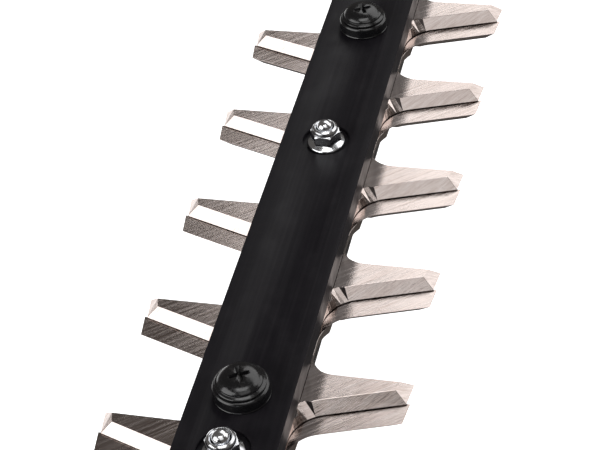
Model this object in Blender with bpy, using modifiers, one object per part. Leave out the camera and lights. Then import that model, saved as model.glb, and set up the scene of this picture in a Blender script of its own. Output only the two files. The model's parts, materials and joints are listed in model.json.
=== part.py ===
"""Cordless hedge trimmer with a double-sided reciprocating cutter bar.

+X runs from the battery to the tip of the bar, +Y is the left side, +Z is up. The origin is on the
underside of the foot, straight below the crankshaft. All sizes are in metres.
"""

import math

import bmesh
import bpy
from mathutils import Matrix, Vector

# Fits
GAP = 0.0003
HOLE_CLEARANCE = 0.0003
SLOT_CLEARANCE = 0.0004
SMALLEST_CORNER = 0.0005
CUT_PAST = 0.001
CORNER_STEPS = 3

# Cutter blades
TOOTH_PITCH = 0.038
TEETH_PER_SIDE = 13
FIRST_TOOTH_X = 0.098
BLADE_THICKNESS = 0.00285
BLADE_STAGGER = 0.0057
TOOTH_REACH = 0.0350
TIP_FRONT = 0.0032
TIP_REAR = 0.0030
TIP_SLANT = 0.0004
FLANK_SLOPE = 0.325
SPINE_HALF_WIDTH = 0.0095
ROOT_FILLET_REAR = 0.0070
ROOT_FILLET_FRONT = 0.0098
FRONT_BEVEL = 0.0024
REAR_BEVEL = 0.0020
GULLET_BEVEL = 0.0004
TIP_BEVEL = 0.0028
SPINE_CHAMFER = 0.004
FILLET_STEPS = 3
SHEAR_Z = 0.030

# Drive
ECCENTRICITY = 0.0065
ECCENTRIC_RADIUS = 0.010
YOKE_WALL = 0.006
GEAR_TEETH = 56
PINION_TEETH = 12
GEAR_MODULE = 0.001
GEAR_THICKNESS = 0.008
AXLE_RADIUS = 0.005
LOWER_AXLE_RADIUS = 0.004
BEARING_WALL = 0.0027
MOTOR_RADIUS = 0.020
MOTOR_HEIGHT = 0.058
MOTOR_SHAFT_RADIUS = 0.0025

# Guide bar and its fasteners
BAR_WIDTH = 0.0236
BAR_FOOT_WIDTH = 0.0208
BAR_HEIGHT = 0.0105
BAR_CORNER = 0.003
BAR_REAR_X = 0.0315
BAR_BEYOND_BLADES = 0.020
STRIP_WIDTH = 0.018
STRIP_THICKNESS = 0.0025
STRIP_AHEAD_OF_CASE = 0.002
NUT_FIRST_X = 0.1310
NUT_SPACING = 2.816 * TOOTH_PITCH
NUT_COUNT = 5
SCREW_AHEAD_OF_NUT = 0.0171
SCREW_SPACING = 3.711 * TOOTH_PITCH
SCREW_COUNT = 3
RECESS_RADIUS = 0.00625
RECESS_DEPTH = 0.0012
THREAD_RADIUS = 0.0020
SHOULDER_RADIUS = 0.0030
BOLT_HEAD_RADIUS = 0.0050
BOLT_HEAD_HEIGHT = 0.0028
NUT_FLANGE_RADIUS = 0.0050
NUT_FLANGE_HEIGHT = 0.0012
NUT_ACROSS_FLATS = 0.0070
NUT_HEX_TOP = 0.0042
NUT_COLLAR_RADIUS = 0.0032
NUT_TOP = 0.0056
BOLT_END_ABOVE_NUT = 0.0014
COLLAR_RADIUS = 0.00665
COLLAR_HEIGHT = 0.0030
SCREW_SHANK_RADIUS = 0.0025
SCREW_WASHER_RADIUS = 0.0060
SCREW_WASHER_HEIGHT = 0.0005
SCREW_HEAD_RADIUS = 0.00525
SCREW_HEAD_HEIGHT = 0.0021
CROSS_WIDTH = 0.0013
CROSS_LENGTH = 0.0052
CROSS_DEPTH = 0.0013
CROSS_TAPER = 0.75
TIP_GUARD_LENGTH = 0.022
TIP_GUARD_WALL = 0.004

# Gear case
CASE_FRONT_X = 0.054
CASE_REAR_X = -0.052
CASE_HALF_WIDTH = 0.036
CASE_WALL = 0.004
CASE_BOTTOM_Z = 0.012
CASE_HEADROOM = 0.010
CASE_CORNER = 0.010
COVER_THICKNESS = 0.0037
MOUTH_CLEARANCE = 0.001
SHAFT_CLEARANCE = 0.002

# Housing
FOOT_HEIGHT = 0.004
RELIEF = 0.0006
BODY_HALF_WIDTH = 0.042
BODY_FRONT_X = 0.062
BODY_REAR_X = -0.085
HOUSING_OVER_MOTOR = 0.016
BODY_CORNER = 0.010
GRIP_HALF_WIDTH = 0.017
GRIP_TOP_Z = 0.120
GRIP_REAR_TOP_Z = 0.100
GRIP_ROUNDING = 0.009
FINGER_HOLE_LOW_Z = 0.047
FINGER_HOLE_TOP_Z = 0.091
FINGER_HOLE_FRONT_X = -0.097
FINGER_HOLE_WALL = 0.036
BEAM_HALF_WIDTH = 0.028
BEAM_TOP_Z = 0.042
REAR_X = -0.236
REAR_BLOCK_LENGTH = 0.032
REAR_BLOCK_HALF_WIDTH = 0.034
REAR_BLOCK_TOP_Z = 0.108
HOUSING_SCREW_RADIUS = 0.0015
HOUSING_SCREW_HEAD_RADIUS = 0.0032
HOUSING_SCREW_HEAD_HEIGHT = 0.0020

# Controls
TRIGGER_PIVOT = (-0.102, 0.0, 0.101)
TRIGGER_HALF_WIDTH = 0.006
TRIGGER_PIN_RADIUS = 0.0015
BUTTON_LENGTH = 0.018
BUTTON_HALF_WIDTH = 0.006
BUTTON_HEIGHT = 0.0105
BUTTON_X = -0.126
BUTTON_Z = 0.113
BUTTON_TRAVEL = 0.003
SWITCH_BEHIND_PIVOT = 0.052
SWITCH_LENGTH = 0.022
SWITCH_HALF_WIDTH = 0.008
SWITCH_LOW_Z = 0.090
SWITCH_HEIGHT = 0.014
BOARD_FRONT_X = -0.110
BOARD_LENGTH = 0.070
BOARD_HALF_WIDTH = 0.012
BOARD_LOW_Z = 0.016
BOARD_HEIGHT = 0.016
ROOM_CLEARANCE = 0.0005
FRONT_HANDLE_X = 0.012
FRONT_HANDLE_RADIUS = 0.012
FRONT_HANDLE_FOOT_Z = 0.072
FRONT_HANDLE_TOP_Z = 0.195
LEVER_X = -0.016
LEVER_RADIUS = 0.005
LEVER_FOOT_Z = 0.078
LEVER_TOP_Z = 0.174
GUARD_THICKNESS = 0.0035
GUARD_TOP_Z = 0.162

# Battery
BATTERY_LENGTH = 0.066
BATTERY_HALF_WIDTH = 0.036
BATTERY_BOTTOM_Z = 0.008
BATTERY_TOP_Z = 0.104
BATTERY_WALL = 0.003
BATTERY_LID = 0.006
CELL_CLEARANCE = 0.0013
TONGUE_LENGTH = 0.014
TONGUE_HALF_WIDTH = 0.020
TONGUE_LOW_Z = 0.0295
TONGUE_TOP_Z = 0.0905
RELEASE_LENGTH = 0.020
RELEASE_BEHIND_FRONT = 0.020
RELEASE_HALF_WIDTH = 0.011
RELEASE_HEIGHT = 0.0052

# Places that follow from the sizes
UPPER_BLADE_Z = SHEAR_Z + GAP / 2
LOWER_BLADE_Z = SHEAR_Z - GAP / 2
BAR_BOTTOM_Z = UPPER_BLADE_Z + BLADE_THICKNESS + GAP
BAR_TOP_Z = BAR_BOTTOM_Z + BAR_HEIGHT
CASE_TOP_Z = BAR_TOP_Z + CASE_HEADROOM
STRIP_TOP_Z = LOWER_BLADE_Z - BLADE_THICKNESS - GAP
STRIP_BOTTOM_Z = STRIP_TOP_Z - STRIP_THICKNESS
NUT_SEAT_Z = BAR_TOP_Z - RECESS_DEPTH + GAP
SLOT_RADIUS = SHOULDER_RADIUS + SLOT_CLEARANCE
YOKE_INNER_X = ECCENTRIC_RADIUS + 2 * ECCENTRICITY + SLOT_CLEARANCE
YOKE_INNER_Y = ECCENTRIC_RADIUS + ECCENTRICITY + SLOT_CLEARANCE
LAST_TOOTH_X = FIRST_TOOTH_X + (TEETH_PER_SIDE - 0.5) * TOOTH_PITCH
BLADE_END_X = LAST_TOOTH_X + 0.014
BAR_END_X = BLADE_END_X + BAR_BEYOND_BLADES
NUT_XS = [NUT_FIRST_X + NUT_SPACING * i for i in range(NUT_COUNT)]
SCREW_FIRST_X = NUT_FIRST_X + NUT_SPACING + SCREW_AHEAD_OF_NUT
SCREW_XS = [SCREW_FIRST_X + SCREW_SPACING * i for i in range(SCREW_COUNT)]
CENTRE_DISTANCE = GEAR_MODULE * (GEAR_TEETH + PINION_TEETH) / 2 + GAP
GEAR_Z = BAR_BOTTOM_Z + 0.0020
GEAR_TOP_Z = GEAR_Z + GEAR_THICKNESS
HOUSING_BOTTOM_Z = FOOT_HEIGHT + GAP
COVER_BOTTOM_Z = CASE_BOTTOM_Z - GAP - COVER_THICKNESS
MOTOR_BOTTOM_Z = CASE_TOP_Z + GAP
MOTOR_TOP_Z = MOTOR_BOTTOM_Z + MOTOR_HEIGHT
BODY_TOP_Z = MOTOR_TOP_Z + HOUSING_OVER_MOTOR
GUARD_FOOT_Z = BAR_TOP_Z + 0.0045
BATTERY_FRONT_X = REAR_X - GAP

PARTS = "hedge_trimmer"
CUTTERS = "cutters"
ABOUT_Y = Matrix.Rotation(math.radians(90), 4, "X")


# --- scene and materials -------------------------------------------------------------------------

def clear_scene():
    for obj in list(bpy.data.objects):
        bpy.data.objects.remove(obj)


def collection(name):
    made = bpy.data.collections.new(name)
    bpy.context.scene.collection.children.link(made)
    return made


def material(name, colour, roughness, metallic=0.0):
    made = bpy.data.materials.new(name)
    made.use_nodes = True
    shader = made.node_tree.nodes["Principled BSDF"]
    shader.inputs["Base Color"].default_value = (*colour, 1.0)
    shader.inputs["Roughness"].default_value = roughness
    shader.inputs["Metallic"].default_value = metallic
    return made


# --- shape helpers -------------------------------------------------------------------------------

def place(bm, name, finish, origin=(0, 0, 0)):
    """Makes an object of a bmesh whose points are in world space, with its own origin."""
    mesh = bpy.data.meshes.new(name)
    bm.transform(Matrix.Translation(-Vector(origin)))
    bmesh.ops.recalc_face_normals(bm, faces=bm.faces)
    if bm.calc_volume(signed=True) < 0:
        bmesh.ops.reverse_faces(bm, faces=bm.faces)
    bm.to_mesh(mesh)
    bm.free()
    obj = bpy.data.objects.new(name, mesh)
    obj.location = origin
    if finish is None:
        bpy.data.collections[CUTTERS].objects.link(obj)
        obj.hide_render = True
        obj.display_type = "WIRE"
    else:
        bpy.data.collections[PARTS].objects.link(obj)
        mesh.materials.append(finish)
    return obj


def box(name, low, high, finish, bevel=0.0, segments=1, origin=(0, 0, 0)):
    bm = bmesh.new()
    bmesh.ops.create_cube(bm, size=1.0)
    size = Vector(high) - Vector(low)
    middle = (Vector(high) + Vector(low)) / 2
    bm.transform(Matrix.Translation(middle) @ Matrix.Diagonal((*size, 1.0)))
    if bevel:
        bmesh.ops.bevel(bm, geom=bm.edges[:], offset=bevel, segments=segments, profile=0.5,
                        affect="EDGES", clamp_overlap=True)
    return place(bm, name, finish, origin)


def turned(name, profile, finish, at=(0, 0, 0), axis="Z", steps=16):
    """A solid of revolution. The profile is (radius, height) from top to bottom down its outer side."""
    mesh = bpy.data.meshes.new(name)
    closed = min(r for r, _ in profile) > 0
    count = len(profile)
    edges = [(i, i + 1) for i in range(count - 1)]
    if closed:
        edges.append((count - 1, 0))
    mesh.from_pydata([(r, 0, z) for r, z in profile], edges, [])
    obj = bpy.data.objects.new(name, mesh)
    obj.location = at
    if axis == "Y":
        obj.rotation_euler = (math.radians(90), 0, 0)
    screw = obj.modifiers.new("Turn", "SCREW")
    screw.steps = steps
    screw.render_steps = steps
    screw.use_merge_vertices = True
    screw.merge_threshold = 0.00001
    screw.use_smooth_shade = True
    bpy.data.collections[CUTTERS if finish is None else PARTS].objects.link(obj)
    if finish is None:
        obj.hide_render = True
        obj.display_type = "WIRE"
    else:
        mesh.materials.append(finish)
    return obj


def rounded(points, radius, steps=3):
    """The outline with each corner turned into an arc. A corner may carry its own radius as a third value."""
    out = []
    count = len(points)
    for i, point in enumerate(points):
        here = Vector(point[:2])
        before = Vector(points[i - 1][:2])
        after = Vector(points[(i + 1) % count][:2])
        wanted = point[2] if len(point) > 2 else radius
        to_before = (before - here).normalized()
        to_after = (after - here).normalized()
        half = to_before.angle(to_after) / 2
        cut = min(wanted / math.tan(half), 0.49 * (before - here).length, 0.49 * (after - here).length)
        arc = cut * math.tan(half)
        centre = here + (to_before + to_after).normalized() * (arc / math.sin(half))
        start = here + to_before * cut - centre
        end = here + to_after * cut - centre
        turn = math.atan2(start.x * end.y - start.y * end.x, start.dot(end))
        for k in range(steps + 1):
            spin = turn * k / steps
            out.append(centre + Vector((start.x * math.cos(spin) - start.y * math.sin(spin),
                                        start.x * math.sin(spin) + start.y * math.cos(spin))))
    return out


def flat_mesh(outlines, low, high):
    """A bmesh of filled outlines, extruded from low to high along Z."""
    curve = bpy.data.curves.new("outline", "CURVE")
    curve.dimensions = "2D"
    curve.fill_mode = "BOTH"
    curve.extrude = (high - low) / 2
    for points in outlines:
        spline = curve.splines.new("POLY")
        spline.points.add(len(points) - 1)
        for target, point in zip(spline.points, points):
            target.co = (point[0], point[1], 0.0, 1.0)
        spline.use_cyclic_u = True
    obj = bpy.data.objects.new("outline", curve)
    bpy.context.scene.collection.objects.link(obj)
    graph = bpy.context.evaluated_depsgraph_get()
    mesh = bpy.data.meshes.new_from_object(obj.evaluated_get(graph))
    bm = bmesh.new()
    bm.from_mesh(mesh)
    bmesh.ops.remove_doubles(bm, verts=bm.verts, dist=0.000001)
    bm.transform(Matrix.Translation((0, 0, (high + low) / 2)))
    bpy.data.objects.remove(obj)
    bpy.data.curves.remove(curve)
    bpy.data.meshes.remove(mesh)
    return bm


def inset(points, distance):
    """The corner points of an outline moved inwards, each corner's own radius following."""
    count = len(points)
    area = sum(points[i - 1][0] * points[i][1] - points[i][0] * points[i - 1][1] for i in range(count))
    side = math.copysign(1.0, area)
    out = []
    for i, (x, y, radius) in enumerate(points):
        before = Vector((x, y)) - Vector(points[i - 1][:2])
        after = Vector(points[(i + 1) % count][:2]) - Vector((x, y))
        first = Vector((-before.y, before.x)).normalized() * side
        second = Vector((-after.y, after.x)).normalized() * side
        moved = Vector((x, y)) + (first + second) * (distance / (1 + first.dot(second)))
        outer_corner = (before.x * after.y - before.y * after.x) * side > 0
        kept = radius - distance if outer_corner else radius + distance
        out.append((moved.x, moved.y, max(kept, SMALLEST_CORNER)))
    return out


def side_slab(name, points, low, high, finish, soft, layers=3, hollow=False):
    """An outline in the X-Z plane made solid from y = low to y = high, its high side rounded over by soft.

    A hollow slab is a cutter: it grows at its high side, so that the hole it leaves is rounded over.
    """
    sections = [(points, low), (points, high - soft)]
    for k in range(1, layers + 1):
        angle = math.pi / 2 * k / layers
        distance = soft * (1 - math.cos(angle)) * (-1 if hollow else 1)
        sections.append((inset(points, distance), high - soft + soft * math.sin(angle)))
    if hollow:
        sections.append((sections[-1][0], high + soft))
    bm = bmesh.new()
    rings = []
    for corners, y in sections:
        rings.append([bm.verts.new((p.x, y, p.y)) for p in rounded(corners, SMALLEST_CORNER, CORNER_STEPS)])
    for near, far in zip(rings, rings[1:]):
        for i in range(len(near)):
            bm.faces.new((near[i - 1], near[i], far[i], far[i - 1]))
    bm.faces.new(rings[0])
    bm.faces.new(rings[-1])
    return place(bm, name, finish)


def plate(name, outlines, low, high, finish):
    return place(flat_mesh(outlines, low, high), name, finish)


def circle(x, y, radius, steps=12):
    turns = [2 * math.pi * k / steps for k in range(steps)]
    return [Vector((x + radius * math.cos(a), y + radius * math.sin(a))) for a in turns]


def slot(x, half_length, radius, steps=4):
    """A round-ended slot along X."""
    ends = []
    for centre, start in ((x + half_length, -math.pi / 2), (x - half_length, math.pi / 2)):
        angles = [start + math.pi * k / steps for k in range(steps + 1)]
        ends += [Vector((centre + radius * math.cos(a), radius * math.sin(a))) for a in angles]
    return ends


def combine(target, other, operation):
    """Applies one Boolean to the target's mesh and removes the other object."""
    step = target.modifiers.new(operation.title(), "BOOLEAN")
    step.operation = operation
    step.object = other
    graph = bpy.context.evaluated_depsgraph_get()
    mesh = bpy.data.meshes.new_from_object(target.evaluated_get(graph))
    target.modifiers.clear()
    target.data = mesh
    bpy.data.objects.remove(other)
    return target


def cut(target, cutter):
    return combine(target, cutter, "DIFFERENCE")


def join(target, other):
    return combine(target, other, "UNION")


def tube(name, points, radius, finish, origin=(0, 0, 0), resolution=2):
    """A round tube through smooth points."""
    curve = bpy.data.curves.new(name, "CURVE")
    curve.dimensions = "3D"
    curve.bevel_depth = radius
    curve.bevel_resolution = resolution
    curve.use_fill_caps = True
    spline = curve.splines.new("POLY")
    spline.points.add(len(points) - 1)
    for target, point in zip(spline.points, points):
        target.co = (*(Vector(point) - Vector(origin)), 1.0)
    curve.materials.append(finish)
    obj = bpy.data.objects.new(name, curve)
    obj.location = origin
    bpy.data.collections[PARTS].objects.link(obj)
    return obj


# --- cutter bar ----------------------------------------------------------------------------------

def arc_points(centre, radius, start, end, steps):
    angles = [start + (end - start) * k / steps for k in range(steps + 1)]
    return [(centre[0] + radius * math.cos(a), centre[1] + radius * math.sin(a)) for a in angles]


def fillet(centre, radius, start, end, full_run):
    """A root fillet: its bevel runs from full on the tooth's flank down to the gullet's own."""
    points = []
    for x, y in arc_points(centre, radius, start, end, FILLET_STEPS):
        out = Vector((x - centre[0], y - centre[1])).normalized()
        run = GULLET_BEVEL + (full_run - GULLET_BEVEL) * abs(out.x)
        points.append((x, y, out.x * run, out.y * run))
    return points


def tooth_outline(axis_x):
    """One tooth of the +Y side from front root to rear root: (x, y, how far the outer face is set in)."""
    rear_x = axis_x + TIP_REAR
    front_x = axis_x - TIP_FRONT
    slope = math.atan(FLANK_SLOPE)
    root_y = SPINE_HALF_WIDTH + ROOT_FILLET_FRONT * (1 - math.sin(slope))
    root_x = front_x - FLANK_SLOPE * (TOOTH_REACH - TIP_SLANT - root_y)
    centre = (root_x - ROOT_FILLET_FRONT * math.cos(slope), SPINE_HALF_WIDTH + ROOT_FILLET_FRONT)
    points = fillet(centre, ROOT_FILLET_FRONT, -math.pi / 2, -slope, FRONT_BEVEL)
    set_in = (FRONT_BEVEL - FLANK_SLOPE * TIP_BEVEL) / math.cos(slope)
    points.append((front_x, TOOTH_REACH - TIP_SLANT, set_in, -TIP_BEVEL))
    points.append((rear_x, TOOTH_REACH + TIP_SLANT, -REAR_BEVEL, -TIP_BEVEL))
    centre = (rear_x + ROOT_FILLET_REAR, SPINE_HALF_WIDTH + ROOT_FILLET_REAR)
    return points + fillet(centre, ROOT_FILLET_REAR, math.pi, 1.5 * math.pi, REAR_BEVEL)


def blade_outline(shift):
    """The cutting outline of a blade and, point for point, how far its outer face is set in."""
    rear = -(YOKE_INNER_X + YOKE_WALL)
    front = YOKE_INNER_X + YOKE_WALL
    wide = YOKE_INNER_Y + YOKE_WALL
    corner = wide - SPINE_HALF_WIDTH
    left = [(rear, wide - SPINE_CHAMFER, 0, 0), (rear + SPINE_CHAMFER, wide, 0, 0),
            (front - corner, wide, 0, 0), (front, SPINE_HALF_WIDTH, 0, 0)]
    right = [(x, -y, 0, 0) for x, y, _, _ in left]
    for i in range(TEETH_PER_SIDE):
        axis_x = FIRST_TOOTH_X + TOOTH_PITCH * i
        left += tooth_outline(axis_x)
        right += [(x, -y, dx, -dy) for x, y, dx, dy in tooth_outline(axis_x + TOOTH_PITCH / 2)]
    end_corner = SPINE_HALF_WIDTH - SPINE_CHAMFER
    left += [(BLADE_END_X - SPINE_CHAMFER, SPINE_HALF_WIDTH, 0, 0), (BLADE_END_X, end_corner, 0, 0)]
    right += [(BLADE_END_X - SPINE_CHAMFER, -SPINE_HALF_WIDTH, 0, 0), (BLADE_END_X, -end_corner, 0, 0)]
    loop = left + right[::-1]
    base = [(x + shift, y) for x, y, _, _ in loop]
    top = [(x + shift + dx, y + dy) for x, y, dx, dy in loop]
    return base, top


def blade(name, side, finish):
    """A toothed blade. Its flat cutting face is towards the shear plane; side is +1 above it, -1 below."""
    shift = side * BLADE_STAGGER / 2
    base_z = UPPER_BLADE_Z if side > 0 else LOWER_BLADE_Z
    outer_z = base_z + side * BLADE_THICKNESS
    base, top = blade_outline(shift)
    bm = bmesh.new()
    verts = [bm.verts.new((x, y, base_z)) for x, y in base]
    face = bm.faces.new(verts)
    grown = bmesh.ops.extrude_face_region(bm, geom=[face], use_keep_orig=True)
    raised = {tuple(round(c, 7) for c in v.co): v for v in grown["geom"] if isinstance(v, bmesh.types.BMVert)}
    for (x, y), (tx, ty), origin in zip(base, top, verts):
        raised[tuple(round(c, 7) for c in origin.co)].co = (tx, ty, outer_z)
    obj = place(bm, name, finish)
    yoke = [(shift + sx * YOKE_INNER_X, sy * YOKE_INNER_Y) for sx, sy in ((-1, -1), (1, -1), (1, 1), (-1, 1))]
    nut_slots = [slot(x + shift, ECCENTRICITY, SLOT_RADIUS) for x in NUT_XS]
    screw_slots = [slot(x + shift, ECCENTRICITY, SLOT_RADIUS) for x in SCREW_XS]
    low, high = sorted((base_z - side * CUT_PAST, outer_z + side * CUT_PAST))
    cut(obj, plate("nut_slots", nut_slots + [rounded(yoke, SPINE_CHAMFER)], low, high, None))
    cut(obj, plate("screw_slots", screw_slots, low, high, None))
    return obj


def strip_outline(rear_x, front_x, width):
    half = width / 2
    return rounded([(rear_x, -half), (front_x, -half), (front_x, half), (rear_x, half)], BAR_CORNER)


def guide_bar(finish):
    """The bar above the blades, its sides leaning in towards them."""
    bm = flat_mesh([strip_outline(BAR_REAR_X, BAR_END_X, BAR_WIDTH)], BAR_BOTTOM_Z, BAR_TOP_Z)
    for vert in bm.verts:
        if vert.co.z < BAR_BOTTOM_Z + GAP:
            vert.co.y *= BAR_FOOT_WIDTH / BAR_WIDTH
    bar = place(bm, "guide_bar", finish)
    holes = [circle(x, 0, THREAD_RADIUS + HOLE_CLEARANCE) for x in NUT_XS]
    holes += [circle(x, 0, SCREW_SHANK_RADIUS + HOLE_CLEARANCE) for x in SCREW_XS]
    cut(bar, plate("bar_holes", holes, BAR_BOTTOM_Z - CUT_PAST, BAR_TOP_Z + CUT_PAST, None))
    recesses = [circle(x, 0, RECESS_RADIUS, 16) for x in NUT_XS]
    cut(bar, plate("bar_recesses", recesses, BAR_TOP_Z - RECESS_DEPTH, BAR_TOP_Z + CUT_PAST, None))
    return bar


def wear_strip(finish):
    outline = strip_outline(CASE_FRONT_X + STRIP_AHEAD_OF_CASE, BAR_END_X, STRIP_WIDTH)
    holes = [circle(x, 0, SHOULDER_RADIUS + HOLE_CLEARANCE) for x in NUT_XS]
    holes += [circle(x, 0, SCREW_SHANK_RADIUS + HOLE_CLEARANCE) for x in SCREW_XS]
    return plate("wear_strip", [outline] + holes, STRIP_BOTTOM_Z, STRIP_TOP_Z, finish)


def blade_bolt(number, x, finish):
    """A shouldered bolt from below, its thread standing out of the lock nut with a domed end."""
    head_top = STRIP_BOTTOM_Z - GAP
    end = NUT_SEAT_Z + NUT_TOP + BOLT_END_ABOVE_NUT
    shoulder_top = BAR_BOTTOM_Z - GAP
    profile = [(0, end), (THREAD_RADIUS * 0.6, end - 0.0002), (THREAD_RADIUS, end - 0.0008),
               (THREAD_RADIUS, shoulder_top), (SHOULDER_RADIUS, shoulder_top), (SHOULDER_RADIUS, head_top),
               (BOLT_HEAD_RADIUS, head_top), (BOLT_HEAD_RADIUS, head_top - BOLT_HEAD_HEIGHT * 0.5),
               (BOLT_HEAD_RADIUS * 0.7, head_top - BOLT_HEAD_HEIGHT), (0, head_top - BOLT_HEAD_HEIGHT)]
    return turned(f"blade_bolt_{number}", profile, finish, (x, 0, 0), steps=12)


def lock_nut(number, x, finish):
    """A hexagon lock nut with a flange and a round nylon collar."""
    bore = THREAD_RADIUS + HOLE_CLEARANCE
    seat = NUT_SEAT_Z
    profile = [(bore, seat + NUT_TOP), (NUT_COLLAR_RADIUS, seat + NUT_TOP),
               (NUT_COLLAR_RADIUS, seat + NUT_FLANGE_HEIGHT),
               (NUT_FLANGE_RADIUS, seat + NUT_FLANGE_HEIGHT * 0.6),
               (NUT_FLANGE_RADIUS, seat), (bore, seat)]
    nut = turned(f"lock_nut_{number}", profile, finish, (x, 0, 0))
    corner = NUT_ACROSS_FLATS / math.sqrt(3)
    outlines = [circle(x, 0, corner, 6), circle(x, 0, bore + 0.0002, 16)]
    hexagon = plate("hexagon", outlines, seat + NUT_FLANGE_HEIGHT * 0.4, seat + NUT_HEX_TOP, None)
    return join(nut, hexagon)


def screw_collar(number, x, finish):
    bore = SCREW_SHANK_RADIUS + HOLE_CLEARANCE
    low = BAR_TOP_Z + GAP
    high = low + COLLAR_HEIGHT
    profile = [(bore, high), (COLLAR_RADIUS - 0.0004, high), (COLLAR_RADIUS, high - 0.0004),
               (COLLAR_RADIUS, low), (bore, low)]
    return turned(f"screw_collar_{number}", profile, finish, (x, 0, 0))


def guide_screw(number, x, finish):
    """A pan-headed screw with a wide flange and a cross recess, down into the wear strip."""
    seat = BAR_TOP_Z + COLLAR_HEIGHT + 2 * GAP
    rim = seat + SCREW_WASHER_HEIGHT
    top = rim + SCREW_HEAD_HEIGHT
    low = STRIP_BOTTOM_Z + GAP
    profile = [(0, top), (SCREW_HEAD_RADIUS * 0.55, top - 0.0001), (SCREW_HEAD_RADIUS * 0.85, top - 0.0006),
               (SCREW_HEAD_RADIUS, top - 0.0014), (SCREW_HEAD_RADIUS, rim), (SCREW_WASHER_RADIUS, rim),
               (SCREW_WASHER_RADIUS, seat), (SCREW_SHANK_RADIUS, seat), (SCREW_SHANK_RADIUS, low), (0, low)]
    screw = turned(f"guide_screw_{number}", profile, finish, (x, 0, 0))
    long = CROSS_LENGTH / 2
    wide = CROSS_WIDTH / 2
    narrow = wide * CROSS_TAPER
    arm = [(long, -narrow), (long, narrow), (wide, wide)]
    moved = []
    for turn in range(4):
        spin = Matrix.Rotation(math.radians(90 * turn), 2)
        moved += [spin @ Vector(point) + Vector((x, 0)) for point in arm]
    return cut(screw, plate("cross", [moved], top - CROSS_DEPTH, top + CUT_PAST, None))


def tip_guard(finish):
    rear = BAR_END_X - TIP_GUARD_LENGTH / 2
    front = BAR_END_X + TIP_GUARD_LENGTH / 2
    half = BAR_WIDTH / 2 + TIP_GUARD_WALL
    low = STRIP_BOTTOM_Z - TIP_GUARD_WALL
    high = BAR_TOP_Z + TIP_GUARD_WALL
    guard = box("tip_guard", (rear, -half, low), (front, half, high), finish, 0.003, 2)
    inner = BAR_WIDTH / 2 + GAP
    pocket = box("tip_pocket", (rear - 0.01, -inner, STRIP_BOTTOM_Z - GAP),
                 (BAR_END_X + GAP, inner, BAR_TOP_Z + GAP), None)
    return cut(guard, pocket)


# --- gear case and drive -------------------------------------------------------------------------

def gear_outline(teeth, phase):
    """Straight-flanked teeth with a little backlash."""
    pitch_radius = GEAR_MODULE * teeth / 2
    root = pitch_radius - 1.15 * GEAR_MODULE
    tip = pitch_radius + 0.85 * GEAR_MODULE
    step = 2 * math.pi / teeth
    points = []
    for i in range(teeth):
        middle = phase + step * i
        for radius, offset in ((root, -0.30), (tip, -0.12), (tip, 0.12), (root, 0.30)):
            angle = middle + offset * step
            points.append(Vector((radius * math.cos(angle), radius * math.sin(angle))))
    return points


def drive_gear(finish):
    outlines = [gear_outline(GEAR_TEETH, math.pi), circle(0, 0, AXLE_RADIUS + HOLE_CLEARANCE)]
    return plate("drive_gear", outlines, GEAR_Z, GEAR_TOP_Z, finish)


def pinion(finish):
    bm = flat_mesh([gear_outline(PINION_TEETH, math.pi / PINION_TEETH),
                    circle(0, 0, MOTOR_SHAFT_RADIUS + HOLE_CLEARANCE)], GEAR_Z, GEAR_TOP_Z)
    bm.transform(Matrix.Translation((-CENTRE_DISTANCE, 0, 0)))
    return place(bm, "pinion", finish, (-CENTRE_DISTANCE, 0, 0))


def crankshaft(finish):
    """The axle with its two opposed eccentrics, at the rest angle that gives the blades' stagger."""
    angle = math.acos(BLADE_STAGGER / 2 / ECCENTRICITY)
    offset = Vector((math.cos(angle), math.sin(angle))) * ECCENTRICITY
    top = CASE_TOP_Z - GAP
    shoulder = GEAR_Z - GAP
    bottom = COVER_BOTTOM_Z + GAP
    profile = [(0, top), (AXLE_RADIUS, top), (AXLE_RADIUS, SHEAR_Z), (0, SHEAR_Z)]
    shaft = turned("crankshaft", profile, finish)
    low = LOWER_BLADE_Z - BLADE_THICKNESS - GAP
    upper = circle(*offset, ECCENTRIC_RADIUS, 20)
    join(shaft, plate("upper_eccentric", [upper], SHEAR_Z - RELIEF, shoulder, None))
    lower = circle(*-offset, ECCENTRIC_RADIUS, 20)
    join(shaft, plate("lower_eccentric", [lower], low, SHEAR_Z, None))
    overlap = low + CUT_PAST
    profile = [(0, overlap), (LOWER_AXLE_RADIUS, overlap), (LOWER_AXLE_RADIUS, bottom), (0, bottom)]
    return join(shaft, turned("stub", profile, None, steps=20))


def bearing(name, inner, low, high, finish):
    bore = inner + HOLE_CLEARANCE
    outer = bore + BEARING_WALL
    return turned(name, [(bore, high), (outer, high), (outer, low), (bore, low)], finish)


def case_outline(wall, corner):
    """The gear case's outline, set in by a wall."""
    rear = CASE_REAR_X + wall
    front = CASE_FRONT_X - wall
    half = CASE_HALF_WIDTH - wall
    return rounded([(rear, -half), (front, -half), (front, half), (rear, half)], corner)


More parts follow.
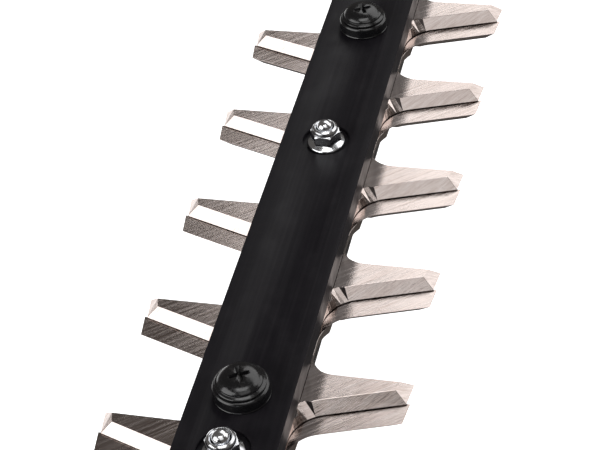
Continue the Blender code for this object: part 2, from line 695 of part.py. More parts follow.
def gear_case(finish):
    case = plate("gear_case", [case_outline(0.0, CASE_CORNER)], CASE_BOTTOM_Z, CASE_TOP_Z, finish)
    room = case_outline(CASE_WALL, CASE_CORNER - CASE_WALL)
    cut(case, plate("case_room", [room], CASE_BOTTOM_Z - CUT_PAST, CASE_TOP_Z - CASE_WALL, None))
    holes = [circle(0, 0, AXLE_RADIUS + BEARING_WALL + 3 * HOLE_CLEARANCE),
             circle(-CENTRE_DISTANCE, 0, MOTOR_SHAFT_RADIUS + SHAFT_CLEARANCE)]
    cut(case, plate("case_holes", holes, CASE_TOP_Z - CASE_WALL - CUT_PAST, CASE_TOP_Z + CUT_PAST, None))
    mouth = BAR_WIDTH / 2 + MOUTH_CLEARANCE
    cut(case, box("case_mouth",
                  (CASE_FRONT_X - CASE_WALL - CUT_PAST, -mouth, STRIP_BOTTOM_Z - BOLT_HEAD_HEIGHT),
                  (CASE_FRONT_X + CUT_PAST, mouth, BAR_TOP_Z + MOUTH_CLEARANCE), None))
    return case


def gear_case_cover(finish):
    hole = circle(0, 0, LOWER_AXLE_RADIUS + BEARING_WALL + 2 * HOLE_CLEARANCE)
    outlines = [case_outline(0.0, CASE_CORNER), hole]
    return plate("gear_case_cover", outlines, COVER_BOTTOM_Z, CASE_BOTTOM_Z - GAP, finish)


def motor(metal, shaft_metal):
    top = MOTOR_TOP_Z
    low = MOTOR_BOTTOM_Z
    bore = MOTOR_SHAFT_RADIUS + HOLE_CLEARANCE
    radius = MOTOR_RADIUS
    profile = [(bore, top), (radius * 0.5, top), (radius * 0.55, top - 0.003), (radius - 0.002, top - 0.003),
               (radius, top - 0.005), (radius, low), (bore, low)]
    at = (-CENTRE_DISTANCE, 0, 0)
    turned("motor_can", profile, metal, at, steps=20)
    reach = MOTOR_SHAFT_RADIUS
    turned("motor_shaft", [(0, top - GAP), (reach, top - GAP), (reach, GEAR_Z - 0.001), (0, GEAR_Z - 0.001)],
           shaft_metal, at, steps=12)


# --- housing -------------------------------------------------------------------------------------

def body_outline():
    front = BODY_FRONT_X
    rear = BODY_REAR_X
    low = HOUSING_BOTTOM_Z
    high = BODY_TOP_Z
    return [(rear, low, 0.004), (front, low, 0.010), (front, high - 0.072, 0.014),
            (front - 0.020, high - 0.028, 0.024), (front - 0.050, high - 0.007, 0.024),
            (-0.045, high, 0.030), (rear, high - 0.010, 0.012)]


def grip_outline():
    low = HOUSING_BOTTOM_Z + 3 * RELIEF
    front = BODY_REAR_X + 0.010
    rear = REAR_X + 0.002
    return [(front, low, 0.003), (front, GRIP_TOP_Z, 0.003), (BODY_REAR_X - 0.030, GRIP_TOP_Z, 0.030),
            (rear + 0.029, GRIP_TOP_Z - 0.008, 0.030), (rear, GRIP_REAR_TOP_Z, 0.014), (rear, low, 0.006)]


def finger_hole():
    front = FINGER_HOLE_FRONT_X
    rear = REAR_X + FINGER_HOLE_WALL
    low = FINGER_HOLE_LOW_Z
    high = FINGER_HOLE_TOP_Z
    return [(front, high, 0.012), (rear + 0.012, high - 0.008, 0.014), (rear, high - 0.025, 0.012),
            (rear, low, 0.010), (front - 0.003, low, 0.014)]


def block_outline(rear, front, low, top, radius):
    return [(rear, low, radius), (front, low, radius), (front, top, radius), (rear, top, radius)]


def housing_half():
    """The left half of the housing, flat at the parting plane."""
    under = -0.010
    half = side_slab("housing_left", body_outline(), under, BODY_HALF_WIDTH, FINISHES["housing"],
                     BODY_CORNER)
    join(half, side_slab("grip", grip_outline(), under - 0.001, GRIP_HALF_WIDTH, None, GRIP_ROUNDING))
    cut(half, side_slab("finger_hole", finger_hole(), under - 0.004, GRIP_HALF_WIDTH, None, 0.006,
                        hollow=True))
    beam = block_outline(REAR_X + 0.001, BODY_REAR_X + 0.008, HOUSING_BOTTOM_Z + RELIEF, BEAM_TOP_Z, 0.004)
    join(half, side_slab("beam", beam, under - 0.002, BEAM_HALF_WIDTH, None, 0.006))
    block = block_outline(REAR_X, REAR_X + REAR_BLOCK_LENGTH, HOUSING_BOTTOM_Z + 2 * RELIEF,
                          REAR_BLOCK_TOP_Z, 0.005)
    join(half, side_slab("block", block, under - 0.003, REAR_BLOCK_HALF_WIDTH, None, 0.004))
    beyond = 0.05
    return cut(half, box("far_side", (REAR_X - beyond, 2 * under, -beyond),
                         (BODY_FRONT_X + beyond, GAP / 2, BODY_TOP_Z + beyond), None))


def housing_rooms():
    """Boxes cut out of both halves: (low corner, high corner)."""
    inside = CASE_HALF_WIDTH + GAP
    motor_room = MOTOR_RADIUS + 3 * ROOM_CLEARANCE
    wires = inside - 0.006
    mouth = BAR_WIDTH / 2 + 2 * MOUTH_CLEARANCE
    socket = TONGUE_HALF_WIDTH + 3 * ROOM_CLEARANCE
    trigger_side = TRIGGER_HALF_WIDTH + 2 * ROOM_CLEARANCE
    button = BUTTON_HALF_WIDTH + GAP
    pivot_x, _, pivot_z = TRIGGER_PIVOT
    switch_front = pivot_x - SWITCH_BEHIND_PIVOT + ROOM_CLEARANCE
    switch_rear = switch_front - SWITCH_LENGTH - 2 * ROOM_CLEARANCE
    switch_side = SWITCH_HALF_WIDTH + ROOM_CLEARANCE
    board_front = BOARD_FRONT_X + ROOM_CLEARANCE
    board_rear = board_front - BOARD_LENGTH - 2 * ROOM_CLEARANCE
    board_side = BOARD_HALF_WIDTH + ROOM_CLEARANCE
    return [
        ((CASE_REAR_X - GAP, -inside, COVER_BOTTOM_Z - GAP), (CASE_FRONT_X + GAP, inside, CASE_TOP_Z + GAP)),
        ((-CENTRE_DISTANCE - motor_room, -motor_room, CASE_TOP_Z - CUT_PAST),
         (-CENTRE_DISTANCE + motor_room, motor_room, MOTOR_TOP_Z + 0.004)),
        ((-CENTRE_DISTANCE + motor_room - CUT_PAST, -wires, CASE_TOP_Z - CUT_PAST),
         (0.026, wires, MOTOR_TOP_Z - 0.014)),
        ((CASE_FRONT_X - CUT_PAST, -mouth, STRIP_BOTTOM_Z - BOLT_HEAD_HEIGHT - 2 * MOUTH_CLEARANCE),
         (BODY_FRONT_X + CUT_PAST, mouth, BAR_TOP_Z + 2 * MOUTH_CLEARANCE)),
        ((pivot_x - 0.048, -trigger_side, pivot_z - 0.031), (pivot_x + 0.008, trigger_side, pivot_z + 0.006)),
        ((BUTTON_X - BUTTON_LENGTH / 2 - GAP, -button, BUTTON_Z - BUTTON_TRAVEL - GAP),
         (BUTTON_X + BUTTON_LENGTH / 2 + GAP, button, GRIP_TOP_Z + BUTTON_HEIGHT)),
        ((switch_rear, -switch_side, SWITCH_LOW_Z - ROOM_CLEARANCE),
         (switch_front, switch_side, SWITCH_LOW_Z + SWITCH_HEIGHT + ROOM_CLEARANCE)),
        ((board_rear, -board_side, BOARD_LOW_Z - ROOM_CLEARANCE),
         (board_front, board_side, BOARD_LOW_Z + BOARD_HEIGHT + ROOM_CLEARANCE)),
        ((REAR_X - CUT_PAST, -socket, TONGUE_LOW_Z - 4 * ROOM_CLEARANCE),
         (REAR_X + TONGUE_LENGTH + 4 * ROOM_CLEARANCE, socket, TONGUE_TOP_Z + 4 * ROOM_CLEARANCE)),
    ]


def screw_places():
    """(x, z, outer half width) of each housing screw."""
    rear = REAR_X + REAR_BLOCK_LENGTH - 0.007
    body = BODY_REAR_X + 0.014
    return [(body, 0.020, BODY_HALF_WIDTH), (body, BODY_TOP_Z - 0.024, BODY_HALF_WIDTH),
            (BODY_FRONT_X - 0.026, BODY_TOP_Z - 0.050, BODY_HALF_WIDTH),
            (rear, REAR_BLOCK_TOP_Z - 0.0085, REAR_BLOCK_HALF_WIDTH), (rear, 0.016, REAR_BLOCK_HALF_WIDTH)]


def housing():
    left = housing_half()
    for low, high in housing_rooms():
        cut(left, box("room", low, high, None))
    pin = TRIGGER_PIN_RADIUS + HOLE_CLEARANCE
    reach = GRIP_HALF_WIDTH - 0.002
    cut(left, turned("pin_hole", [(0, reach), (pin, reach), (pin, -reach), (0, -reach)], None,
                     (TRIGGER_PIVOT[0], 0, TRIGGER_PIVOT[2]), "Y", 10))
    right = left.copy()
    right.data = left.data.copy()
    right.name = "housing_right"
    bpy.data.collections[PARTS].objects.link(right)
    right.data.transform(Matrix.Scale(-1, 4, (0, 1, 0)))
    right.data.flip_normals()
    hole = HOUSING_SCREW_RADIUS + HOLE_CLEARANCE
    head = HOUSING_SCREW_HEAD_RADIUS + 2 * HOLE_CLEARANCE
    deep = 0.012
    for number, (x, z, half) in enumerate(screw_places(), 1):
        seat = half - 0.004
        outside = half + CUT_PAST
        profile = [(0, outside), (head, outside), (head, seat), (hole, seat), (hole, -deep), (0, -deep)]
        cut(right, turned("screw_room", profile, None, (x, 0, z), "Y", 10))
        cut(left, turned("screw_hole", [(0, 0.01), (hole, 0.01), (hole, -deep), (0, -deep)], None,
                         (x, 0, z), "Y", 10))
        radius = HOUSING_SCREW_RADIUS
        rim = HOUSING_SCREW_HEAD_RADIUS
        low = seat + GAP
        top = low + HOUSING_SCREW_HEAD_HEIGHT
        turned(f"housing_screw_{number}",
               [(0, top), (rim * 0.7, top), (rim, top - 0.0008), (rim, low), (radius, low),
                (radius, -deep + GAP), (0, -deep + GAP)], FINISHES["black_steel"], (x, 0, z), "Y", 10)


def feet(finish):
    low_edge = BODY_HALF_WIDTH - 0.012
    box("front_foot", (-0.022, -low_edge, 0), (BODY_FRONT_X - 0.006, low_edge, FOOT_HEIGHT), finish, 0.001, 2)
    rear = REAR_X + 0.006
    width = BEAM_HALF_WIDTH - 0.008
    box("rear_foot", (rear, -width, 0), (rear + 0.030, width, FOOT_HEIGHT + RELIEF), finish, 0.001, 2)


# --- handles and controls ------------------------------------------------------------------------

def arch(x, foot_y, foot_z, top_z, half_width, steps=18):
    """Points of a loop handle across the machine, from its left foot over the top to its right foot."""
    points = []
    middle = (foot_z + top_z) / 2
    tall = (top_z - foot_z) / 2
    for i in range(steps + 1):
        angle = math.radians(-52 + 284 * i / steps)
        y = half_width * math.copysign(abs(math.cos(angle)) ** 0.8, math.cos(angle))
        z = middle + tall * math.copysign(abs(math.sin(angle)) ** 0.9, math.sin(angle))
        points.append(Vector((x, y, z)))
    points = [p for p in points if abs(p.y) > foot_y or p.z > middle]
    first = Vector((x, foot_y, points[0].z))
    last = Vector((x, -foot_y, points[-1].z))
    return [first] + points + [last]


def front_handle(finish, flange_finish):
    side = BODY_HALF_WIDTH + GAP
    points = arch(FRONT_HANDLE_X, side, FRONT_HANDLE_FOOT_Z - 0.012, FRONT_HANDLE_TOP_Z, 0.088)
    tube("front_handle", points, FRONT_HANDLE_RADIUS, finish)
    bore = FRONT_HANDLE_RADIUS + 2 * HOLE_CLEARANCE
    for name, sign in (("handle_flange_left", -1), ("handle_flange_right", 1)):
        near = sign * side
        far = sign * (side + 0.004)
        high, low = max(near, far), min(near, far)
        turned(name, [(bore, high), (bore + 0.006, high), (bore + 0.006, low), (bore, low)], flange_finish,
               (FRONT_HANDLE_X, 0, points[0].z), "Y", 20)
    return points


def switch_lever(finish):
    side = BODY_HALF_WIDTH + 2 * GAP
    points = arch(LEVER_X, side, LEVER_FOOT_Z - 0.004, LEVER_TOP_Z, 0.068)
    pivot = (LEVER_X, 0, points[0].z)
    tube("switch_lever", points, LEVER_RADIUS, finish, pivot)
    return pivot


def hand_guard(finish):
    half = [(0.040, GUARD_FOOT_Z, 0.004), (0.088, GUARD_FOOT_Z + 0.0195, 0.014),
            (0.094, 0.120, 0.024), (0.064, GUARD_TOP_Z, 0.024)]
    outline = rounded([(y, z, r) for y, z, r in half] + [(-y, z, r) for y, z, r in half[::-1]], 0.010, 4)
    bm = flat_mesh([outline], BODY_FRONT_X + GAP, BODY_FRONT_X + GAP + GUARD_THICKNESS)
    bm.transform(Matrix(((0, 0, 1, 0), (1, 0, 0, 0), (0, 1, 0, 0), (0, 0, 0, 1))))
    guard = place(bm, "hand_guard", finish)
    front = BODY_FRONT_X + GAP + GUARD_THICKNESS
    radius = HOUSING_SCREW_HEAD_RADIUS
    depth = HOUSING_SCREW_HEAD_HEIGHT
    facing_front = Matrix.Rotation(math.radians(90), 4, "Y")
    for name, y in (("guard_screw_left", 0.028), ("guard_screw_right", -0.028)):
        bm = bmesh.new()
        bmesh.ops.create_cone(bm, cap_ends=True, segments=16, radius1=radius, radius2=radius * 0.75,
                              depth=depth)
        bm.transform(Matrix.Translation((front + GAP + depth / 2, y, GUARD_FOOT_Z + 0.005)) @ facing_front)
        place(bm, name, FINISHES["black_steel"])
    return guard


def trigger(finish, pin_finish):
    px, _, pz = TRIGGER_PIVOT
    outline = rounded([(px + 0.005, pz + 0.003), (px - 0.030, pz - 0.001), (px - 0.043, pz - 0.006),
                       (px - 0.044, pz - 0.018), (px - 0.030, pz - 0.021), (px - 0.012, pz - 0.014),
                       (px + 0.003, pz - 0.010)], 0.004, 3)
    hole = circle(px, pz, TRIGGER_PIN_RADIUS + HOLE_CLEARANCE)
    bm = flat_mesh([outline, hole], -TRIGGER_HALF_WIDTH, TRIGGER_HALF_WIDTH)
    bm.transform(ABOUT_Y)
    place(bm, "trigger", finish, TRIGGER_PIVOT)
    reach = GRIP_HALF_WIDTH - 0.0024
    radius = TRIGGER_PIN_RADIUS
    turned("trigger_pin", [(0, reach), (radius, reach), (radius, -reach), (0, -reach)], pin_finish,
           (px, 0, pz), "Y", 10)


def lock_off_button(finish):
    low = (BUTTON_X - BUTTON_LENGTH / 2, -BUTTON_HALF_WIDTH, BUTTON_Z)
    high = (BUTTON_X + BUTTON_LENGTH / 2, BUTTON_HALF_WIDTH, BUTTON_Z + BUTTON_HEIGHT)
    box("lock_off_button", low, high, finish, 0.0015, 2)


# --- battery -------------------------------------------------------------------------------------

def battery(shell_finish, cell_finish, button_finish):
    front = BATTERY_FRONT_X
    lid_front = front - BATTERY_LENGTH + BATTERY_LID
    half = BATTERY_HALF_WIDTH
    low = BATTERY_BOTTOM_Z
    top = BATTERY_TOP_Z
    wall = BATTERY_WALL
    case = box("battery_case", (lid_front, -half, low), (front, half, top), shell_finish, 0.005, 2)
    tongue = box("tongue", (front - 0.004, -TONGUE_HALF_WIDTH, TONGUE_LOW_Z),
                 (front + TONGUE_LENGTH, TONGUE_HALF_WIDTH, TONGUE_TOP_Z), None, 0.002, 2)
    join(case, tongue)
    cut(case, box("cell_room", (lid_front - BATTERY_LID, -half + wall, low + wall),
                  (front - 2 * wall, half - wall, top - wall), None))
    room = wall + CELL_CLEARANCE
    box("battery_cells", (lid_front + CELL_CLEARANCE, -half + room, low + room),
        (front - wall - room, half - room, top - room), cell_finish, 0.002, 2)
    lid_rear = lid_front - GAP - BATTERY_LID
    box("battery_lid", (lid_rear, -half, low), (lid_front - GAP, half, top), shell_finish, 0.0025, 2)
    release_front = front - RELEASE_BEHIND_FRONT
    box("battery_release", (release_front - RELEASE_LENGTH, -RELEASE_HALF_WIDTH, top + GAP),
        (release_front, RELEASE_HALF_WIDTH, top + GAP + RELEASE_HEIGHT), button_finish, 0.0018, 2)


FINISHES = {}


def main():
    clear_scene()
    collection(PARTS)
    cutters = collection(CUTTERS)
    cutters.hide_render = True
    FINISHES["housing"] = material("housing_plastic", (0.035, 0.036, 0.040), 0.55)
    FINISHES["black_steel"] = material("black_steel", (0.02, 0.02, 0.022), 0.28, 0.8)
    steel = material("ground_steel", (0.62, 0.58, 0.57), 0.30, 1.0)
    zinc = material("zinc", (0.80, 0.80, 0.82), 0.18, 1.0)
    bar_black = material("black_anodised", (0.016, 0.016, 0.018), 0.42, 0.3)
    cast = material("cast_aluminium", (0.45, 0.45, 0.46), 0.50, 1.0)
    gear_steel = material("gear_steel", (0.40, 0.40, 0.42), 0.35, 1.0)
    orange = material("orange_plastic", (0.80, 0.16, 0.02), 0.40)
    rubber = material("black_rubber", (0.02, 0.02, 0.02), 0.75)
    clear_black = material("guard_plastic", (0.03, 0.03, 0.034), 0.30)
    cell_wrap = material("cell_wrap", (0.05, 0.12, 0.30), 0.45)
    board_green = material("board_green", (0.02, 0.16, 0.06), 0.45)

    blade("upper_blade", 1, steel)
    blade("lower_blade", -1, steel)
    guide_bar(bar_black)
    wear_strip(FINISHES["black_steel"])
    for number, x in enumerate(NUT_XS, 1):
        blade_bolt(number, x, zinc)
        lock_nut(number, x, zinc)
    for number, x in enumerate(SCREW_XS, 1):
        screw_collar(number, x, FINISHES["black_steel"])
        guide_screw(number, x, FINISHES["black_steel"])
    tip_guard(clear_black)

    gear_case(cast)
    gear_case_cover(cast)
    drive_gear(gear_steel)
    crankshaft(gear_steel)
    pinion(gear_steel)
    bearing("upper_bearing", AXLE_RADIUS, CASE_TOP_Z - CASE_WALL + GAP, CASE_TOP_Z - GAP, zinc)
    bearing("lower_bearing", LOWER_AXLE_RADIUS, COVER_BOTTOM_Z, CASE_BOTTOM_Z - 2 * GAP, zinc)
    motor(gear_steel, zinc)
    box("bar_clamp", (BAR_REAR_X + GAP, -BAR_WIDTH / 2, BAR_TOP_Z + GAP),
        (CASE_FRONT_X - CASE_WALL - GAP, BAR_WIDTH / 2, CASE_TOP_Z - CASE_WALL - GAP), cast)

    housing()
    feet(rubber)
    front_handle(rubber, FINISHES["housing"])
    switch_lever(orange)
    hand_guard(clear_black)
    trigger(orange, gear_steel)
    lock_off_button(orange)
    switch_front = TRIGGER_PIVOT[0] - SWITCH_BEHIND_PIVOT
    box("trigger_switch", (switch_front - SWITCH_LENGTH, -SWITCH_HALF_WIDTH, SWITCH_LOW_Z),
        (switch_front, SWITCH_HALF_WIDTH, SWITCH_LOW_Z + SWITCH_HEIGHT), FINISHES["housing"], 0.001, 1)
    box("control_board", (BOARD_FRONT_X - BOARD_LENGTH, -BOARD_HALF_WIDTH, BOARD_LOW_Z),
        (BOARD_FRONT_X, BOARD_HALF_WIDTH, BOARD_LOW_Z + BOARD_HEIGHT), board_green, 0.001, 1)
    battery(FINISHES["housing"], cell_wrap, orange)


main()
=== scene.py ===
"""Looks of a cordless hedge trimmer: toothed blades, guide bar, fasteners and power head.

+X runs from the battery to the tip of the bar, +Y is the left side and +Z is up. Sizes are in metres.
"""

import json
import logging
import math
from dataclasses import dataclass
from enum import Enum

import bpy
from mathutils import Matrix, Vector


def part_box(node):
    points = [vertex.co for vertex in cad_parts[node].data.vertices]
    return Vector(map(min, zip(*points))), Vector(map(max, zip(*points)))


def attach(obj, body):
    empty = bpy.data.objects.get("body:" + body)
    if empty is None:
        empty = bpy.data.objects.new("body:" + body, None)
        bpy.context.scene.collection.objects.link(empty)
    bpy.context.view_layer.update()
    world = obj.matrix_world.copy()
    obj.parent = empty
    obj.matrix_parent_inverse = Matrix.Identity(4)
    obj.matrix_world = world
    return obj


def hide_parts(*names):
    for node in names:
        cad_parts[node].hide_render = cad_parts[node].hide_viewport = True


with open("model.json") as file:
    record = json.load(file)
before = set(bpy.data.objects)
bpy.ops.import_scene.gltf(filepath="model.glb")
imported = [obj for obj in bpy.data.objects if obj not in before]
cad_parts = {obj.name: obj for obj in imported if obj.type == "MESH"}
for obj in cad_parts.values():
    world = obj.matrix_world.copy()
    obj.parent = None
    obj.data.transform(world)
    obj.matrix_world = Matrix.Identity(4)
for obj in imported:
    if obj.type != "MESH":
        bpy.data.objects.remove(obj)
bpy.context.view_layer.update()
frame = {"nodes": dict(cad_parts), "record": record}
LOG = logging.getLogger("hedge_trimmer")

Point = tuple[float, float, float]
Colour = tuple[float, float, float]


# --- shader graph --------------------------------------------------------------------------------

class Socket:
    """A shader value that takes part in arithmetic: each operator adds one Math node."""

    def __init__(self, graph: "Graph", output: bpy.types.NodeSocket) -> None:
        """Keeps the graph that the value belongs to and the socket that it comes from."""
        self.graph = graph
        self.output = output

    def _maths(self, operation: str, first: "Socket | float", second: "Socket | float") -> "Socket":
        """Adds a Math node that works on two values."""
        return self.graph.add("ShaderNodeMath", {"operation": operation}, {0: first, 1: second})

    def __add__(self, other: "Socket | float") -> "Socket":
        """The sum."""
        return self._maths("ADD", self, other)

    __radd__ = __add__

    def __mul__(self, other: "Socket | float") -> "Socket":
        """The product."""
        return self._maths("MULTIPLY", self, other)

    __rmul__ = __mul__

    def over(self, low: float, high: float, start: float = 0.0, end: float = 1.0) -> "Socket":
        """The value's place between two limits, eased and held at both ends.

        Args:
            low: The value that gives start.
            high: The value that gives end.
            start: The result at low.
            end: The result at high.

        Returns:
            The eased value.
        """
        return self.graph.add("ShaderNodeMapRange", {"interpolation_type": "SMOOTHSTEP", "clamp": True},
                              {"Value": self, "From Min": low, "From Max": high, "To Min": start,
                               "To Max": end})


class Graph:
    """The node tree of one material."""

    def __init__(self, name: str) -> None:
        """Starts an empty material with its shader and output.

        Args:
            name: The material's name.
        """
        self.material = bpy.data.materials.new(name)
        self.material.use_nodes = True
        self.tree = self.material.node_tree
        self.tree.nodes.clear()
        self.shader = self.tree.nodes.new("ShaderNodeBsdfPrincipled")
        output = self.tree.nodes.new("ShaderNodeOutputMaterial")
        self.tree.links.new(self.shader.outputs["BSDF"], output.inputs["Surface"])

    def _feed(self, socket: bpy.types.NodeSocket, value: "Socket | float | tuple") -> None:
        """Links or sets one input."""
        if isinstance(value, Socket):
            self.tree.links.new(value.output, socket)
        elif isinstance(value, tuple) and socket.type == "RGBA":
            socket.default_value = (*value, 1.0)
        else:
            socket.default_value = value

    def add(self, kind: str, settings: dict, inputs: dict, output: int | str = 0) -> Socket:
        """Adds a node, sets it up and feeds it.

        Args:
            kind: The node's type.
            settings: The node's own properties, set before its sockets.
            inputs: Values or links, by socket name or number.
            output: Which output is wanted.

        Returns:
            The wanted output.
        """
        node = self.tree.nodes.new(kind)
        for name, value in settings.items():
            setattr(node, name, value)
        for name, value in inputs.items():
            self._feed(node.inputs[name], value)
        return Socket(self, node.outputs[output])

    def place(self, scale: Point = (1.0, 1.0, 1.0), turn_degrees: float = 0.0) -> Socket:
        """Object coordinates, turned about the vertical and then stretched.

        Args:
            scale: How often the pattern repeats along each turned axis.
            turn_degrees: The turn about the vertical.

        Returns:
            The coordinates.
        """
        here = self.add("ShaderNodeTexCoord", {}, {}, "Object")
        turned = self.add("ShaderNodeMapping", {"vector_type": "POINT"},
                          {"Vector": here, "Rotation": (0.0, 0.0, math.radians(turn_degrees))})
        return self.add("ShaderNodeMapping", {"vector_type": "POINT"}, {"Vector": turned, "Scale": scale})

    def noise(self, where: Socket, scale: float, detail: float = 3.0, rough: float = 0.55) -> Socket:
        """A noise value around one half."""
        return self.add("ShaderNodeTexNoise", {}, {"Vector": where, "Scale": scale, "Detail": detail,
                                                   "Roughness": rough}, 0)

    def mix(self, share: Socket, first: "Socket | Colour", second: "Socket | Colour") -> Socket:
        """A colour between two colours."""
        node = self.tree.nodes.new("ShaderNodeMix")
        node.data_type = "RGBA"
        self._feed(node.inputs[0], share)
        self._feed(node.inputs[6], first)
        self._feed(node.inputs[7], second)
        return Socket(self, node.outputs[2])

    def bump(self, height: Socket, depth: float, strength: float = 1.0) -> Socket:
        """A normal that follows a height, in metres of depth."""
        return self.add("ShaderNodeBump", {}, {"Height": height, "Distance": depth, "Strength": strength},
                        "Normal")

    def finish(self, colour: "Socket | Colour", roughness: "Socket | float", metallic: float = 0.0,
               normal: Socket | None = None, **constants: float) -> bpy.types.Material:
        """Feeds the shader.

        Args:
            colour: The base colour.
            roughness: The roughness.
            metallic: How metallic it is.
            normal: The normal, when the surface has relief.
            **constants: Other inputs, by name with underscores for spaces.

        Returns:
            The finished material.
        """
        self._feed(self.shader.inputs["Base Color"], colour)
        self._feed(self.shader.inputs["Roughness"], roughness)
        self.shader.inputs["Metallic"].default_value = metallic
        if normal is not None:
            self._feed(self.shader.inputs["Normal"], normal)
        for name, value in constants.items():
            self.shader.inputs[name.replace("_", " ")].default_value = value
        return self.material


# --- finishes ------------------------------------------------------------------------------------

@dataclass(frozen=True)
class GroundSteel:
    """Blade steel, surface-ground at a slant: fine lines, wider passes and a warm grey-pink cast."""

    light: Colour = (0.83, 0.745, 0.71)
    dark: Colour = (0.50, 0.415, 0.38)
    grind_degrees: float = 52.0
    roughness: float = 0.15

    def build(self) -> bpy.types.Material:
        """Makes the material."""
        g = Graph("blade_ground_steel")
        passes = g.noise(g.place((36.0, 1300.0, 300.0), self.grind_degrees), 1.0, 2.0)
        lines = g.noise(g.place((50.0, 4600.0, 900.0), self.grind_degrees), 1.0, 3.0, 0.7)
        cloud = g.noise(g.place(), 55.0, 2.0)
        scratch = lines.over(0.60, 0.74)
        tone = passes.over(0.30, 0.72) * 0.45 + lines.over(0.25, 0.75) * 0.35 + cloud.over(0.3, 0.7) * 0.2
        colour = g.mix(tone, self.dark, self.light)
        colour = g.mix(scratch * 0.4, colour, (0.30, 0.25, 0.235))
        rough = passes.over(0.3, 0.7, self.roughness - 0.05, self.roughness + 0.07) + scratch * 0.08
        relief = g.bump(lines * 0.7 + passes * 0.5, 0.00005, 0.55)
        return g.finish(colour, rough, 1.0, relief)


@dataclass(frozen=True)
class SatinBlack:
    """Black anodised bar: faint lengthwise drawing lines and soft mottling."""

    colour: Colour = (0.0085, 0.0075, 0.0098)
    worn: Colour = (0.022, 0.020, 0.023)
    roughness: float = 0.36

    def build(self) -> bpy.types.Material:
        """Makes the material."""
        g = Graph("bar_satin_black")
        drawn = g.noise(g.place((14.0, 900.0, 900.0)), 1.0, 3.0)
        mottle = g.noise(g.place(), 120.0, 4.0, 0.6)
        grain = g.noise(g.place(), 5200.0, 2.0)
        tone = drawn.over(0.4, 0.75) * 0.4 + mottle.over(0.45, 0.75) * 0.35
        colour = g.mix(tone, self.colour, self.worn)
        rough = mottle.over(0.3, 0.7, self.roughness - 0.05, self.roughness + 0.10)
        relief = g.bump(grain * 0.5 + drawn, 0.00002, 0.4)
        return g.finish(colour, rough, 0.0, relief, Specular_IOR_Level=0.14)


@dataclass(frozen=True)
class BlackSteel:
    """Blackened, oiled steel of the screws and the wear strip, thin where tools and fingers touch it."""

    colour: Colour = (0.0055, 0.0055, 0.0062)
    thin: Colour = (0.045, 0.042, 0.042)
    roughness: float = 0.17

    def build(self) -> bpy.types.Material:
        """Makes the material."""
        g = Graph("screw_black_steel")
        blotch = g.noise(g.place(), 380.0, 4.0, 0.6)
        fine = g.noise(g.place(), 2400.0, 2.0)
        colour = g.mix(blotch.over(0.52, 0.80) * 0.6, self.colour, self.thin)
        rough = fine.over(0.3, 0.7, self.roughness - 0.04, self.roughness + 0.09)
        return g.finish(colour, rough, 0.0, g.bump(fine + blotch, 0.00002, 0.35), Specular_IOR_Level=0.75)


@dataclass(frozen=True)
class BrightZinc:
    """Bright zinc plate: clear silver with a faint cool clouding and turning lines."""

    light: Colour = (0.90, 0.91, 0.93)
    dull: Colour = (0.62, 0.64, 0.68)
    roughness: float = 0.16

    def build(self) -> bpy.types.Material:
        """Makes the material."""
        g = Graph("fastener_bright_zinc")
        cloud = g.noise(g.place(), 420.0, 3.0)
        turned = g.noise(g.place((300.0, 300.0, 5200.0)), 1.0, 2.0)
        colour = g.mix(cloud.over(0.42, 0.78) * 0.7, self.light, self.dull)
        rough = cloud.over(0.3, 0.7, self.roughness - 0.03, self.roughness + 0.08)
        return g.finish(colour, rough, 1.0, g.bump(turned * 0.6 + cloud, 0.00002, 0.4))


@dataclass(frozen=True)
class WorkedMetal:
    """Cast or machined metal of the drive."""

    name: str
    light: Colour
    dark: Colour
    roughness: float
    grain_scale: float
    grain_depth: float

    def build(self) -> bpy.types.Material:
        """Makes the material."""
        g = Graph(self.name)
        grain = g.noise(g.place(), self.grain_scale, 3.0)
        cloud = g.noise(g.place(), 60.0, 2.0)
        colour = g.mix(grain.over(0.3, 0.7) * 0.6 + cloud * 0.3, self.dark, self.light)
        rough = grain.over(0.3, 0.7, self.roughness - 0.08, self.roughness + 0.10)
        return g.finish(colour, rough, 1.0, g.bump(grain, self.grain_depth, 0.6))


@dataclass(frozen=True)
class MouldedPlastic:
    """Injection-moulded plastic with a spark-eroded grain, slight flow clouding and handling shine."""

    name: str
    colour: Colour
    scuffed: Colour
    roughness: float
    grain_depth: float = 0.00005
    grain_scale: float = 1500.0
    gloss: float = 0.5

    def build(self) -> bpy.types.Material:
        """Makes the material."""
        g = Graph(self.name)
        grain = g.noise(g.place(), self.grain_scale, 3.0, 0.6)
        flow = g.noise(g.place((9.0, 26.0, 26.0)), 1.0, 3.0)
        scuff = g.noise(g.place((40.0, 900.0, 900.0), 24.0), 1.0, 2.0).over(0.66, 0.80)
        colour = g.mix(flow.over(0.35, 0.75) * 0.4 + scuff * 0.35, self.colour, self.scuffed)
        rough = flow.over(0.3, 0.7, self.roughness - 0.06, self.roughness + 0.08) + grain * 0.04
        relief = g.bump(grain, self.grain_depth, 0.6)
        return g.finish(colour, rough, 0.0, relief, Specular_IOR_Level=self.gloss)


@dataclass(frozen=True)
class StudioFloor:
    """Pale matt floor, lit a little from within so that it stays even."""

    colour: Colour = (0.93, 0.93, 0.93)
    glow: float = 1.0

    def build(self) -> bpy.types.Material:
        """Makes the material."""
        g = Graph("studio_floor")
        tone = g.noise(g.place(), 1.5, 2.0)
        colour = g.mix(tone, self.colour, (0.95, 0.95, 0.95))
        return g.finish(colour, 0.9, 0.0, None, Emission_Color=(1.0, 1.0, 1.0, 1.0),
                        Emission_Strength=self.glow)


